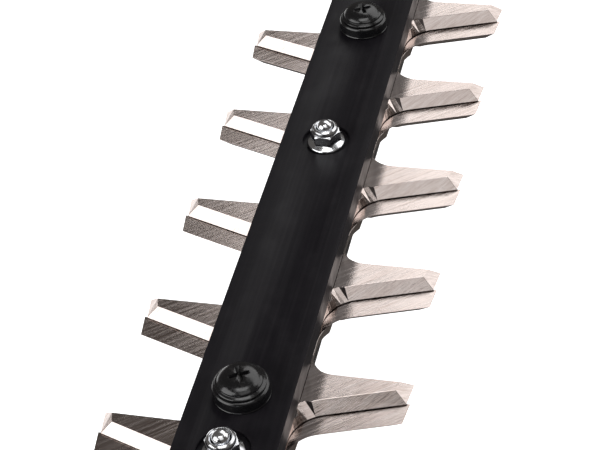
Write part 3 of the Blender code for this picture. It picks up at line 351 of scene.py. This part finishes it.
class Finish(Enum):
    """Every finish of the trimmer, by the record's material slot."""

    BLADE = "blade_steel"
    BAR = "bar_black"
    BLACK_STEEL = "black_steel"
    ZINC = "zinc"
    CAST = "cast_aluminium"
    GEAR = "gear_steel"
    HOUSING = "housing_plastic"
    ACCENT = "accent_plastic"
    GUARD = "guard_plastic"
    RUBBER = "rubber"
    CELLS = "cell_wrap"
    BOARD = "board"


RECIPES = {
    Finish.BLADE: GroundSteel(),
    Finish.BAR: SatinBlack(),
    Finish.BLACK_STEEL: BlackSteel(),
    Finish.ZINC: BrightZinc(),
    Finish.CAST: WorkedMetal(
        "case_cast_aluminium", (0.62, 0.62, 0.63), (0.36, 0.36, 0.37), 0.50, 900.0, 0.0001),
    Finish.GEAR: WorkedMetal(
        "gear_machined_steel", (0.50, 0.50, 0.52), (0.30, 0.30, 0.31), 0.30, 2600.0, 0.00003),
    Finish.HOUSING: MouldedPlastic(
        "housing_moulded", (0.020, 0.021, 0.024), (0.045, 0.046, 0.050), 0.52, 0.00009),
    Finish.ACCENT: MouldedPlastic(
        "accent_moulded", (0.72, 0.125, 0.010), (0.85, 0.22, 0.05), 0.38),
    Finish.GUARD: MouldedPlastic(
        "guard_smoked", (0.012, 0.012, 0.014), (0.03, 0.03, 0.034), 0.20, 0.00001),
    Finish.RUBBER: MouldedPlastic(
        "soft_rubber", (0.013, 0.013, 0.014), (0.030, 0.030, 0.030), 0.78, 0.00014, 2400.0, 0.3),
    Finish.CELLS: MouldedPlastic(
        "cell_shrink_wrap", (0.04, 0.10, 0.26), (0.08, 0.16, 0.34), 0.35, 0.00003),
    Finish.BOARD: MouldedPlastic(
        "potted_board", (0.012, 0.11, 0.04), (0.03, 0.18, 0.08), 0.42, 0.00006, 500.0),
}


class Palette:
    """The built materials, one for each finish."""

    def __init__(self) -> None:
        """Builds every finish once."""
        self.materials = {finish: recipe.build() for finish, recipe in RECIPES.items()}

    def dress(self, obj: bpy.types.Object, finish: Finish) -> bpy.types.Object:
        """Gives an object one finish all over.

        Args:
            obj: The piece or CAD node.
            finish: The finish.

        Returns:
            The same object.
        """
        if not obj.material_slots:
            obj.data.materials.append(self.materials[finish])
        for slot in obj.material_slots:
            slot.material = self.materials[finish]
        return obj


# --- bench ---------------------------------------------------------------------------------------

class Bench:
    """Modelling steps that every sub-assembly shares."""

    def __init__(self, palette: Palette) -> None:
        """Keeps the palette that pieces are dressed from."""
        self.palette = palette

    @staticmethod
    def pick(obj: bpy.types.Object) -> None:
        """Selects one object alone and makes it active."""
        bpy.ops.object.select_all(action="DESELECT")
        obj.select_set(True)
        bpy.context.view_layer.objects.active = obj

    @staticmethod
    def from_points(name: str, points: list[Point], edges: list, faces: list) -> bpy.types.Object:
        """Makes an object from its points."""
        mesh = bpy.data.meshes.new(name)
        mesh.from_pydata(points, edges, faces)
        obj = bpy.data.objects.new(name, mesh)
        bpy.context.scene.collection.objects.link(obj)
        return obj

    def merged(self, obj: bpy.types.Object, within: float = 1e-6) -> bpy.types.Object:
        """Merges doubles and turns every face outwards.

        Args:
            obj: The mesh object.
            within: The distance that counts as one point.

        Returns:
            The same object.
        """
        self.pick(obj)
        bpy.ops.object.mode_set(mode="EDIT")
        bpy.ops.mesh.select_all(action="SELECT")
        bpy.ops.mesh.remove_doubles(threshold=within)
        bpy.ops.mesh.normals_make_consistent(inside=False)
        bpy.ops.object.mode_set(mode="OBJECT")
        return obj

    def spun(self, name: str, profile: list[tuple[float, float]], x: float,
             steps: int = 64) -> bpy.types.Object:
        """Spins a profile about a vertical axis.

        Args:
            name: The new object's name.
            profile: (radius, height) down the outer side.
            x: The axis's place along the bar.
            steps: The number of steps round.

        Returns:
            The closed solid.
        """
        count = len(profile)
        edges = [(i, i + 1) for i in range(count - 1)]
        if min(radius for radius, _ in profile) > 0:
            edges.append((count - 1, 0))
        obj = self.from_points(name, [(x + radius, 0.0, height) for radius, height in profile], edges, [])
        self.pick(obj)
        bpy.ops.object.mode_set(mode="EDIT")
        bpy.ops.mesh.select_all(action="SELECT")
        bpy.ops.mesh.spin(steps=steps, angle=math.tau, center=(x, 0.0, 0.0), axis=(0.0, 0.0, 1.0))
        bpy.ops.object.mode_set(mode="OBJECT")
        return self.merged(obj)

    def block(self, name: str, low: Point, high: Point) -> bpy.types.Object:
        """A box between two corners, with its place in its mesh."""
        middle = (Vector(low) + Vector(high)) / 2
        bpy.ops.object.select_all(action="DESELECT")
        bpy.ops.mesh.primitive_cube_add(size=1.0, location=middle)
        obj = bpy.context.active_object
        obj.name = name
        obj.scale = Vector(high) - Vector(low)
        bpy.ops.object.transform_apply(location=True, rotation=True, scale=True)
        return obj

    def prism(self, name: str, x: float, y: float, radius: float, low: float, high: float,
              sides: int) -> bpy.types.Object:
        """An upright prism or cylinder, with its place in its mesh."""
        bpy.ops.object.select_all(action="DESELECT")
        bpy.ops.mesh.primitive_cylinder_add(vertices=sides, radius=radius, depth=high - low,
                                            location=(x, y, (low + high) / 2))
        obj = bpy.context.active_object
        obj.name = name
        bpy.ops.object.transform_apply(location=True, rotation=True, scale=True)
        return obj

    def boolean(self, obj: bpy.types.Object, other: bpy.types.Object, operation: str) -> bpy.types.Object:
        """Applies a Boolean and removes the other object."""
        step = obj.modifiers.new(operation.title(), "BOOLEAN")
        step.operation = operation
        step.solver = "EXACT"
        step.object = other
        self.pick(obj)
        bpy.ops.object.modifier_apply(modifier=step.name)
        bpy.data.objects.remove(other)
        return obj

    def softened(self, obj: bpy.types.Object, width: float, segments: int = 2,
                 degrees: float = 35.0) -> bpy.types.Object:
        """Rounds the sharp edges a little.

        Args:
            obj: The mesh object.
            width: The width of the rounding.
            segments: Its steps.
            degrees: The least angle that counts as sharp.

        Returns:
            The same object.
        """
        step = obj.modifiers.new("Edges", "BEVEL")
        step.width = width
        step.segments = segments
        step.limit_method = "ANGLE"
        step.angle_limit = math.radians(degrees)
        step.use_clamp_overlap = True
        self.pick(obj)
        bpy.ops.object.modifier_apply(modifier=step.name)
        return obj

    def smooth(self, obj: bpy.types.Object, degrees: float = 32.0) -> bpy.types.Object:
        """Shades smooth below an angle."""
        self.pick(obj)
        bpy.ops.object.shade_smooth_by_angle(angle=math.radians(degrees))
        return obj

    def copy_of(self, node: str, name: str) -> bpy.types.Object:
        """A merged copy of a CAD node, flat areas joined into whole faces.

        Args:
            node: The CAD node.
            name: The copy's name.

        Returns:
            The copy.
        """
        source = frame["nodes"][node]
        obj = bpy.data.objects.new(name, source.data.copy())
        bpy.context.scene.collection.objects.link(obj)
        self.merged(obj, 2e-6)
        bpy.ops.object.mode_set(mode="EDIT")
        bpy.ops.mesh.select_all(action="SELECT")
        bpy.ops.mesh.dissolve_limited(angle_limit=math.radians(0.5))
        bpy.ops.object.mode_set(mode="OBJECT")
        return obj

    def fit(self, obj: bpy.types.Object, body: str, finish: Finish, *nodes: str) -> bpy.types.Object:
        """Dresses a finished piece and puts it on its body in place of CAD nodes.

        Args:
            obj: The finished piece.
            body: The body that it rides on.
            finish: Its finish.
            *nodes: The CAD nodes that it stands for.

        Returns:
            The same object.
        """
        obj.data.materials.clear()
        self.palette.dress(obj, finish)
        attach(obj, body)
        if nodes:
            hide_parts(*nodes)
        LOG.info("%s on %s, %d faces", obj.name, body, len(obj.data.polygons))
        return obj


# --- cutter blades -------------------------------------------------------------------------------

CUT_PAST = 0.001
BORE_GAP = 0.0003
NUT_NUMBERS = range(1, 6)
SCREW_NUMBERS = range(1, 4)


def middle_x(node: str) -> float:
    """The place along the bar of the middle of a CAD node."""
    low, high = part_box(node)
    return (low.x + high.x) / 2


class Side(Enum):
    """Which of the two blades."""

    UPPER = 1
    LOWER = -1


@dataclass
class CutterBlade:
    """One toothed blade: slanted front edges, square rear edges, rounded roots and ground bevels."""

    bench: Bench
    side: Side
    pitch: float = 0.038
    teeth: int = 13
    first_x: float = 0.098
    stagger: float = 0.0057
    reach: float = 0.0350
    tip_front: float = 0.0032
    tip_rear: float = 0.0030
    tip_slant: float = 0.0004
    slope: float = 0.325
    spine: float = 0.0095
    front_fillet: float = 0.0098
    rear_fillet: float = 0.0070
    front_bevel: float = 0.0024
    rear_bevel: float = 0.0020
    gullet_bevel: float = 0.0004
    tip_bevel: float = 0.0028
    runout_bevel: float = 0.0034
    runout_y: float = 0.0143
    runout_end_y: float = 0.0118
    rear_half_width: float = 0.0230
    rear_length: float = 0.0300
    corner: float = 0.004
    yoke_half_length: float = 0.0230
    yoke_half_width: float = 0.0170
    slot_half_width: float = 0.0034
    slot_reach: float = 0.0101
    steps: int = 12

    def tooth(self, axis_x: float) -> list[tuple[float, float, float, float]]:
        """One tooth of the left side, from its front root to its rear root.

        Args:
            axis_x: The tooth's own place along the blade.

        Returns:
            (x, y, how far x and y are set in on the outer face) of each point.
        """
        angle = math.atan(self.slope)
        front_x = axis_x - self.tip_front
        root_y = self.spine + self.front_fillet * (1 - math.sin(angle))
        root_x = front_x - self.slope * (self.reach - self.tip_slant - root_y)
        centre = (root_x - self.front_fillet * math.cos(angle), self.spine + self.front_fillet)
        points = []
        for k in range(self.steps + 1):
            turn = -math.pi / 2 + (math.pi / 2 - angle) * k / self.steps
            out = Vector((math.cos(turn), math.sin(turn)))
            x = centre[0] + self.front_fillet * out.x
            y = centre[1] + self.front_fillet * out.y
            run = self.front_run(y)
            points.append((x, y, out.x * run, out.y * run))
        set_in = (self.front_bevel - self.slope * self.tip_bevel) / math.cos(angle)
        points.append((front_x, self.reach - self.tip_slant, set_in, -self.tip_bevel))
        rear_x = axis_x + self.tip_rear
        points.append((rear_x, self.reach + self.tip_slant, -self.rear_bevel, -self.tip_bevel))
        centre = (rear_x + self.rear_fillet, self.spine + self.rear_fillet)
        for k in range(self.steps + 1):
            turn = math.pi + math.pi / 2 * k / self.steps
            out = Vector((math.cos(turn), math.sin(turn)))
            run = self.gullet_bevel + (self.rear_bevel - self.gullet_bevel) * abs(out.x)
            points.append((centre[0] + self.rear_fillet * out.x, centre[1] + self.rear_fillet * out.y,
                           out.x * run, out.y * run))
        return points

    def front_run(self, y: float) -> float:
        """How wide the front bevel is at a distance from the middle: it widens, then runs out."""
        if y >= self.runout_y:
            return self.front_bevel
        if y >= self.runout_end_y:
            share = (self.runout_y - y) / (self.runout_y - self.runout_end_y)
            return self.front_bevel + (self.runout_bevel - self.front_bevel) * math.sin(math.pi * share)
        return self.gullet_bevel

    def outline(self) -> tuple[list, list]:
        """The cutting outline and the outer face's outline, point for point."""
        shift = self.side.value * self.stagger / 2
        low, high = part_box(self.node)
        rear, front = low.x - shift, high.x - shift
        wide, long = self.rear_half_width, self.rear_length
        left = [(rear, wide - self.corner, 0, 0), (rear + self.corner, wide, 0, 0), (long, wide, 0, 0),
                (long + wide - self.spine, self.spine, 0, 0)]
        right = [(x, -y, 0, 0) for x, y, _, _ in left]
        for i in range(self.teeth):
            axis_x = self.first_x + self.pitch * i
            left += self.tooth(axis_x)
            right += [(x, -y, dx, -dy) for x, y, dx, dy in self.tooth(axis_x + self.pitch / 2)]
        left += [(front - self.corner, self.spine, 0, 0), (front, self.spine - self.corner, 0, 0)]
        right += [(front - self.corner, -self.spine, 0, 0), (front, -self.spine + self.corner, 0, 0)]
        loop = left + right[::-1]
        return ([(x + shift, y) for x, y, _, _ in loop],
                [(x + shift + dx, y + dy) for x, y, dx, dy in loop])

    @property
    def node(self) -> str:
        """The CAD node that this blade stands for."""
        return f"{self.side.name.lower()}_blade"

    def build(self) -> bpy.types.Object:
        """Models the blade and puts it on its body."""
        low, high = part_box(self.node)
        flat_z, outer_z = (low.z, high.z) if self.side is Side.UPPER else (high.z, low.z)
        base, outer = self.outline()
        count = len(base)
        points = [(x, y, flat_z) for x, y in base] + [(x, y, outer_z) for x, y in outer]
        sides = [(i, (i + 1) % count, count + (i + 1) % count, count + i) for i in range(count)]
        faces = [tuple(range(count)), tuple(range(count, 2 * count))] + sides
        obj = self.bench.from_points(f"{self.node}_ground", points, [], faces)
        self.bench.merged(obj)
        for cutter in self.slot_cutters(flat_z, outer_z):
            self.bench.boolean(obj, cutter, "DIFFERENCE")
        self.bench.softened(obj, 0.00014, 1, 18.0)
        return self.bench.fit(obj, self.node, Finish.BLADE, self.node)

    def slot_cutters(self, flat_z: float, outer_z: float) -> list[bpy.types.Object]:
        """The yoke window and the long slots that the bolts and screws pass through."""
        shift = self.side.value * self.stagger / 2
        low, high = min(flat_z, outer_z) - CUT_PAST, max(flat_z, outer_z) + CUT_PAST
        half, reach = self.slot_half_width, self.slot_reach
        window_low = (shift - self.yoke_half_length, -self.yoke_half_width, low)
        window_high = (shift + self.yoke_half_length, self.yoke_half_width, high)
        cutters = [self.bench.block("yoke_window", window_low, window_high)]
        for node in [f"lock_nut_{i}" for i in NUT_NUMBERS] + [f"guide_screw_{i}" for i in SCREW_NUMBERS]:
            x = middle_x(node) + shift
            cutters.append(self.bench.block("slot", (x - reach, -half, low), (x + reach, half, high)))
        return cutters


# --- guide bar and fasteners ---------------------------------------------------------------------

@dataclass
class GuideBar:
    """The black bar above the blades, with chamfered edges and a round recess at each nut."""

    bench: Bench
    foot_share: float = 0.0208 / 0.0236
    recess_radius: float = 0.00625
    recess_depth: float = 0.0012
    bolt_hole: float = 0.0024
    screw_hole: float = 0.0028
    edge: float = 0.0005

    def build(self) -> bpy.types.Object:
        """Models the bar and puts it on the frame."""
        low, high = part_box("guide_bar")
        bar = self.bench.block("guide_bar_anodised", tuple(low), tuple(high))
        self.bench.pick(bar)
        for vertex in bar.data.vertices:
            if vertex.co.z < (low.z + high.z) / 2:
                vertex.co.y *= self.foot_share
        for i in NUT_NUMBERS:
            x = middle_x(f"lock_nut_{i}")
            recess = self.bench.prism("recess", x, 0.0, self.recess_radius, high.z - self.recess_depth,
                                      high.z + CUT_PAST, 64)
            self.bench.boolean(bar, recess, "DIFFERENCE")
            hole = self.bench.prism("bolt_hole", x, 0.0, self.bolt_hole, low.z - CUT_PAST, high.z, 32)
            self.bench.boolean(bar, hole, "DIFFERENCE")
        for i in SCREW_NUMBERS:
            hole = self.bench.prism("screw_hole", middle_x(f"guide_screw_{i}"), 0.0, self.screw_hole,
                                    low.z - CUT_PAST, high.z + CUT_PAST, 32)
            self.bench.boolean(bar, hole, "DIFFERENCE")
        self.bench.softened(bar, self.edge, 3, 30.0)
        self.bench.smooth(bar, 35.0)
        return self.bench.fit(bar, "frame", Finish.BAR, "guide_bar")


@dataclass
class LockNut:
    """A flanged hexagon lock nut with a round collar, and the domed bolt end in it."""

    bench: Bench
    number: int
    flange: float = 0.0050
    across_flats: float = 0.0070
    collar: float = 0.0034
    thread: float = 0.0020
    hex_top: float = 0.0042
    crown: float = 0.0056
    shoulder: float = 0.0030
    bolt_head: float = 0.0050
    bolt_head_height: float = 0.0028

    def build(self) -> None:
        """Models the nut and its bolt and puts them on the frame."""
        node = f"lock_nut_{self.number}"
        x = middle_x(node)
        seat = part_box(node)[0].z
        bore = self.thread + BORE_GAP
        top = seat + self.crown
        profile = [(bore, top - 0.0004), (bore + 0.0003, top), (self.collar - 0.0007, top),
                   (self.collar - 0.0002, top - 0.0003), (self.collar, top - 0.0009),
                   (self.collar, seat + self.hex_top - 0.0002),
                   (self.collar, seat + 0.0014), (self.flange - 0.0012, seat + 0.0012),
                   (self.flange - 0.0002, seat + 0.0007), (self.flange, seat + 0.0004), (self.flange, seat),
                   (bore, seat)]
        nut = self.bench.spun(f"{node}_zinc", profile, x)
        corner = self.across_flats / math.sqrt(3)
        hexagon = self.bench.prism("hexagon", x, 0.0, corner, seat + 0.0006, seat + self.hex_top, 6)
        barrel = self.bench.spun("barrel", [(0.0, seat + self.hex_top + 0.0002),
                                            (corner - 0.0006, seat + self.hex_top + 0.0002),
                                            (corner + 0.0004, seat + self.hex_top - 0.0008),
                                            (corner + 0.0004, seat), (0.0, seat)], x)
        self.bench.boolean(hexagon, barrel, "INTERSECT")
        hole = self.bench.prism("bore", x, 0.0, bore + 0.0003, seat - CUT_PAST, seat + 2 * self.crown, 48)
        self.bench.boolean(hexagon, hole, "DIFFERENCE")
        self.bench.boolean(nut, hexagon, "UNION")
        self.bench.softened(nut, 0.00012, 2, 28.0)
        self.bench.smooth(nut, 30.0)
        self.bench.fit(nut, "frame", Finish.ZINC, node)
        self.bolt(x)

    def bolt(self, x: float) -> None:
        """Models the shouldered bolt under the nut, its domed end standing out of the collar."""
        node = f"blade_bolt_{self.number}"
        low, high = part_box(node)
        bar_low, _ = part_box("guide_bar")
        head_top = low.z + self.bolt_head_height
        shoulder_top = bar_low.z - BORE_GAP
        radius = self.thread
        head = self.bolt_head
        profile = [(0.0, high.z), (radius * 0.45, high.z - 0.00008), (radius * 0.8, high.z - 0.00045),
                   (radius, high.z - 0.0011), (radius, shoulder_top), (self.shoulder, shoulder_top),
                   (self.shoulder, head_top), (head, head_top), (head, head_top - 0.0014),
                   (head - 0.0004, head_top - 0.0020), (head - 0.0015, head_top - 0.0027), (0.0, low.z)]
        bolt = self.bench.spun(f"{node}_zinc", profile, x, 48)
        self.bench.smooth(bolt, 40.0)
        self.bench.fit(bolt, "frame", Finish.ZINC, node)


@dataclass
class GuideScrew:
    """A black pan-headed screw with a cross recess, on its raised collar."""

    bench: Bench
    number: int
    washer: float = 0.0060
    head: float = 0.00525
    shank: float = 0.0025
    arm: float = 0.0030
    arm_half_width: float = 0.00062
    recess_depth: float = 0.0017
    recess_taper: float = 0.55
    recess_turn: float = 28.0

    def build(self) -> None:
        """Models the collar and the screw and puts them on the frame."""
        node = f"screw_collar_{self.number}"
        low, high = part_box(node)
        x = (low.x + high.x) / 2
        radius = (high.x - low.x) / 2
        bore = self.shank + BORE_GAP
        profile = [(bore, high.z), (radius - 0.0006, high.z), (radius - 0.0003, high.z - 0.0001),
                   (radius, high.z - 0.0005), (radius, low.z + 0.0002), (radius + 0.0002, low.z),
                   (bore, low.z)]
        collar = self.bench.spun(f"{node}_black", profile, x)
        self.bench.smooth(self.bench.softened(collar, 0.00012, 2, 30.0), 35.0)
        self.bench.fit(collar, "frame", Finish.BLACK_STEEL, node)
        self.screw(x, high.z)

    def screw(self, x: float, collar_top: float) -> None:
        """Models the screw."""
        node = f"guide_screw_{self.number}"
        low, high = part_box(node)
        seat = collar_top + BORE_GAP
        rim = seat + 0.0005
        top = high.z
        head, washer = self.head, self.washer
        profile = [(0.0, top), (head * 0.45, top - 0.0001), (head * 0.72, top - 0.0004),
                   (head * 0.90, top - 0.0009), (head, top - 0.0015), (head, rim + 0.0001),
                   (head + 0.0001, rim), (washer - 0.0002, rim - 0.0001), (washer, rim - 0.0003),
                   (washer, seat), (self.shank, seat), (self.shank, low.z), (0.0, low.z)]
        screw = self.bench.spun(f"{node}_black", profile, x)
        self.bench.boolean(screw, self.cross(x, top), "DIFFERENCE")
        self.bench.smooth(self.bench.softened(screw, 0.00010, 2, 34.0), 35.0)
        self.bench.fit(screw, "frame", Finish.BLACK_STEEL, node)

    def cross(self, x: float, top: float) -> bpy.types.Object:
        """The tapered cross recess, as a cutter."""
        floor = top - self.recess_depth
        half = self.arm_half_width
        other_half = half - 0.00001
        above = top + CUT_PAST
        arms = self.bench.block("cross", (x - self.arm, -half, floor), (x + self.arm, half, above))
        other = self.bench.block("cross_arm", (x - other_half, -self.arm, floor),
                                 (x + other_half, self.arm, above + 0.0001))
        self.bench.boolean(arms, other, "UNION")
        for vertex in arms.data.vertices:
            if vertex.co.z < top - self.recess_depth / 2:
                vertex.co.x = x + (vertex.co.x - x) * self.recess_taper
                vertex.co.y *= self.recess_taper
        turned = Matrix.Translation((x, 0, 0)) @ Matrix.Rotation(math.radians(self.recess_turn), 4, "Z")
        arms.data.transform(turned @ Matrix.Translation((-x, 0, 0)))
        return arms


# --- power head ----------------------------------------------------------------------------------

@dataclass
class Shell:
    """A moulded CAD node with its edges rounded off and its curves shaded smooth."""

    bench: Bench
    node: str
    body: str
    finish: Finish
    edge: float = 0.0006
    segments: int = 3
    smooth_degrees: float = 38.0

    def build(self) -> bpy.types.Object:
        """Models the piece and puts it on its body."""
        obj = self.bench.copy_of(self.node, f"{self.node}_moulded")
        self.bench.softened(obj, self.edge, self.segments, 40.0)
        self.bench.smooth(obj, self.smooth_degrees)
        return self.bench.fit(obj, self.body, self.finish, self.node)


@dataclass
class CarriedNodes:
    """The CAD nodes that stay as they are and take a finish from their slot."""

    palette: Palette

    def build(self) -> None:
        """Dresses every CAD node that is still shown."""
        slots = {part["node"]: part["material_slot"] for part in frame["record"]["subparts"]}
        for name, obj in sorted(frame["nodes"].items()):
            if not obj.hide_render:
                self.palette.dress(obj, Finish(slots[name]))
                LOG.info("%s carried over", name)


# --- studio --------------------------------------------------------------------------------------

@dataclass(frozen=True)
class Softbox:
    """A soft light, by the directions that it fills as seen from the blades, in degrees."""

    name: str
    left: float
    right: float
    low: float
    high: float
    away: float
    brightness: float


SOFTBOXES = [
    Softbox("front_right_softbox", -75.0, 13.5, 28.0, 60.0, 4.0, 1.45),
    Softbox("low_right_card", -78.0, -34.0, 0.0, 25.0, 3.0, 1.25),
    Softbox("front_left_card", 32.0, 68.0, -34.0, 0.0, 2.0, 1.2),
    Softbox("rear_left_softbox", 104.0, 162.0, -6.0, 48.0, 3.0, 2.1),
    Softbox("rear_right_softbox", 188.0, 240.0, 30.0, 56.0, 2.5, 0.75),
    Softbox("top_softbox", 150.0, 250.0, 62.0, 88.0, 2.0, 2.4),
]


@dataclass
class Studio:
    """Pale floor, soft lights and the camera."""

    camera_at: Point = (0.01716, -0.09378, 0.32322)
    yaw: float = 0.30670
    pitch: float = 0.73556
    roll: float = -0.12225
    focal_length: float = 100.085
    sensor_width: float = 36.0
    nearest: float = 0.01
    floor_half: float = 14.0
    floor_drop: float = 0.0005
    aim: Point = (0.31, 0.0, 0.035)
    room_colour: Colour = (1.0, 0.93, 0.88)
    room_strength: float = 0.09

    def build_floor(self) -> None:
        """Lays the floor."""
        bpy.ops.object.select_all(action="DESELECT")
        bpy.ops.mesh.primitive_plane_add(size=2 * self.floor_half, location=(0.0, 0.0, -self.floor_drop))
        floor = bpy.context.active_object
        floor.name = "studio_floor"
        bpy.ops.object.transform_apply(location=True, rotation=True, scale=True)
        floor.data.materials.append(StudioFloor().build())
        floor.visible_glossy = False
        floor.visible_shadow = False

    def panel(self, box: Softbox) -> None:
        """Hangs one rectangular softbox that faces the middle of the blades.

        Args:
            box: Its place, size and brightness.
        """
        light = bpy.data.lights.new(box.name, "AREA")
        light.shape = "RECTANGLE"
        across = math.radians(box.right - box.left)
        tall = math.radians(box.high - box.low)
        azimuth = math.radians((box.left + box.right) / 2)
        height = math.radians((box.low + box.high) / 2)
        light.size = 2 * box.away * math.tan(across / 2) * math.cos(height)
        light.size_y = 2 * box.away * math.tan(tall / 2)
        light.energy = math.pi * light.size * light.size_y * box.brightness
        out = Vector((math.cos(height) * math.cos(azimuth), math.cos(height) * math.sin(azimuth),
                      math.sin(height)))
        obj = bpy.data.objects.new(box.name, light)
        obj.location = Vector(self.aim) + box.away * out
        obj.rotation_euler = (-out).to_track_quat("-Z", "Y").to_euler()
        obj.visible_camera = False
        bpy.context.scene.collection.objects.link(obj)

    def build_lights(self) -> None:
        """Hangs the lights."""
        for box in SOFTBOXES:
            self.panel(box)
        world = bpy.data.worlds.new("soft_room")
        world.use_nodes = True
        background = world.node_tree.nodes["Background"]
        background.inputs["Color"].default_value = (*self.room_colour, 1.0)
        background.inputs["Strength"].default_value = self.room_strength
        bpy.context.scene.world = world

    def build_camera(self) -> None:
        """Stands the camera."""
        ahead = Vector((math.cos(self.yaw) * math.cos(self.pitch), math.sin(self.yaw) * math.cos(self.pitch),
                        -math.sin(self.pitch)))
        right = Vector((math.sin(self.yaw), -math.cos(self.yaw), 0.0))
        up = right.cross(ahead)
        across = math.cos(self.roll) * right + math.sin(self.roll) * up
        upward = math.cos(self.roll) * up - math.sin(self.roll) * right
        data = bpy.data.cameras.new("camera")
        data.lens = self.focal_length
        data.sensor_width = self.sensor_width
        data.clip_start = self.nearest
        camera = bpy.data.objects.new("camera", data)
        axes = Matrix((across, upward, -ahead)).transposed().to_4x4()
        camera.matrix_world = Matrix.Translation(self.camera_at) @ axes
        bpy.context.scene.collection.objects.link(camera)
        bpy.context.scene.camera = camera

    def build(self) -> None:
        """Sets up the studio."""
        self.build_floor()
        self.build_lights()
        self.build_camera()
        bpy.context.scene.view_settings.view_transform = "Standard"


SHELLS = [
    ("housing_left", "frame", Finish.HOUSING, 0.0006),
    ("housing_right", "frame", Finish.HOUSING, 0.0006),
    ("hand_guard", "frame", Finish.GUARD, 0.0008),
    ("tip_guard", "frame", Finish.GUARD, 0.0005),
    ("front_handle", "frame", Finish.RUBBER, 0.0003),
    ("handle_flange_left", "frame", Finish.HOUSING, 0.0008),
    ("handle_flange_right", "frame", Finish.HOUSING, 0.0008),
    ("switch_lever", "switch_lever", Finish.ACCENT, 0.0003),
    ("trigger", "trigger", Finish.ACCENT, 0.0010),
    ("lock_off_button", "lock_off_button", Finish.ACCENT, 0.0005),
    ("battery_case", "battery", Finish.HOUSING, 0.0006),
    ("battery_lid", "battery", Finish.HOUSING, 0.0006),
    ("battery_release", "battery_release", Finish.ACCENT, 0.0005),
    ("front_foot", "frame", Finish.RUBBER, 0.0004),
    ("rear_foot", "frame", Finish.RUBBER, 0.0004),
    ("wear_strip", "frame", Finish.BLACK_STEEL, 0.0003),
]


def main() -> None:
    """Builds every sub-assembly in order."""
    logging.basicConfig(level=logging.INFO, format="%(name)s: %(message)s")
    palette = Palette()
    bench = Bench(palette)
    Studio().build()
    for side in Side:
        CutterBlade(bench, side).build()
    GuideBar(bench).build()
    for number in NUT_NUMBERS:
        LockNut(bench, number).build()
    for number in SCREW_NUMBERS:
        GuideScrew(bench, number).build()
    for node, body, finish, edge in SHELLS:
        Shell(bench, node, body, finish, edge).build()
    CarriedNodes(palette).build()


if __name__ == "__main__":
    main()
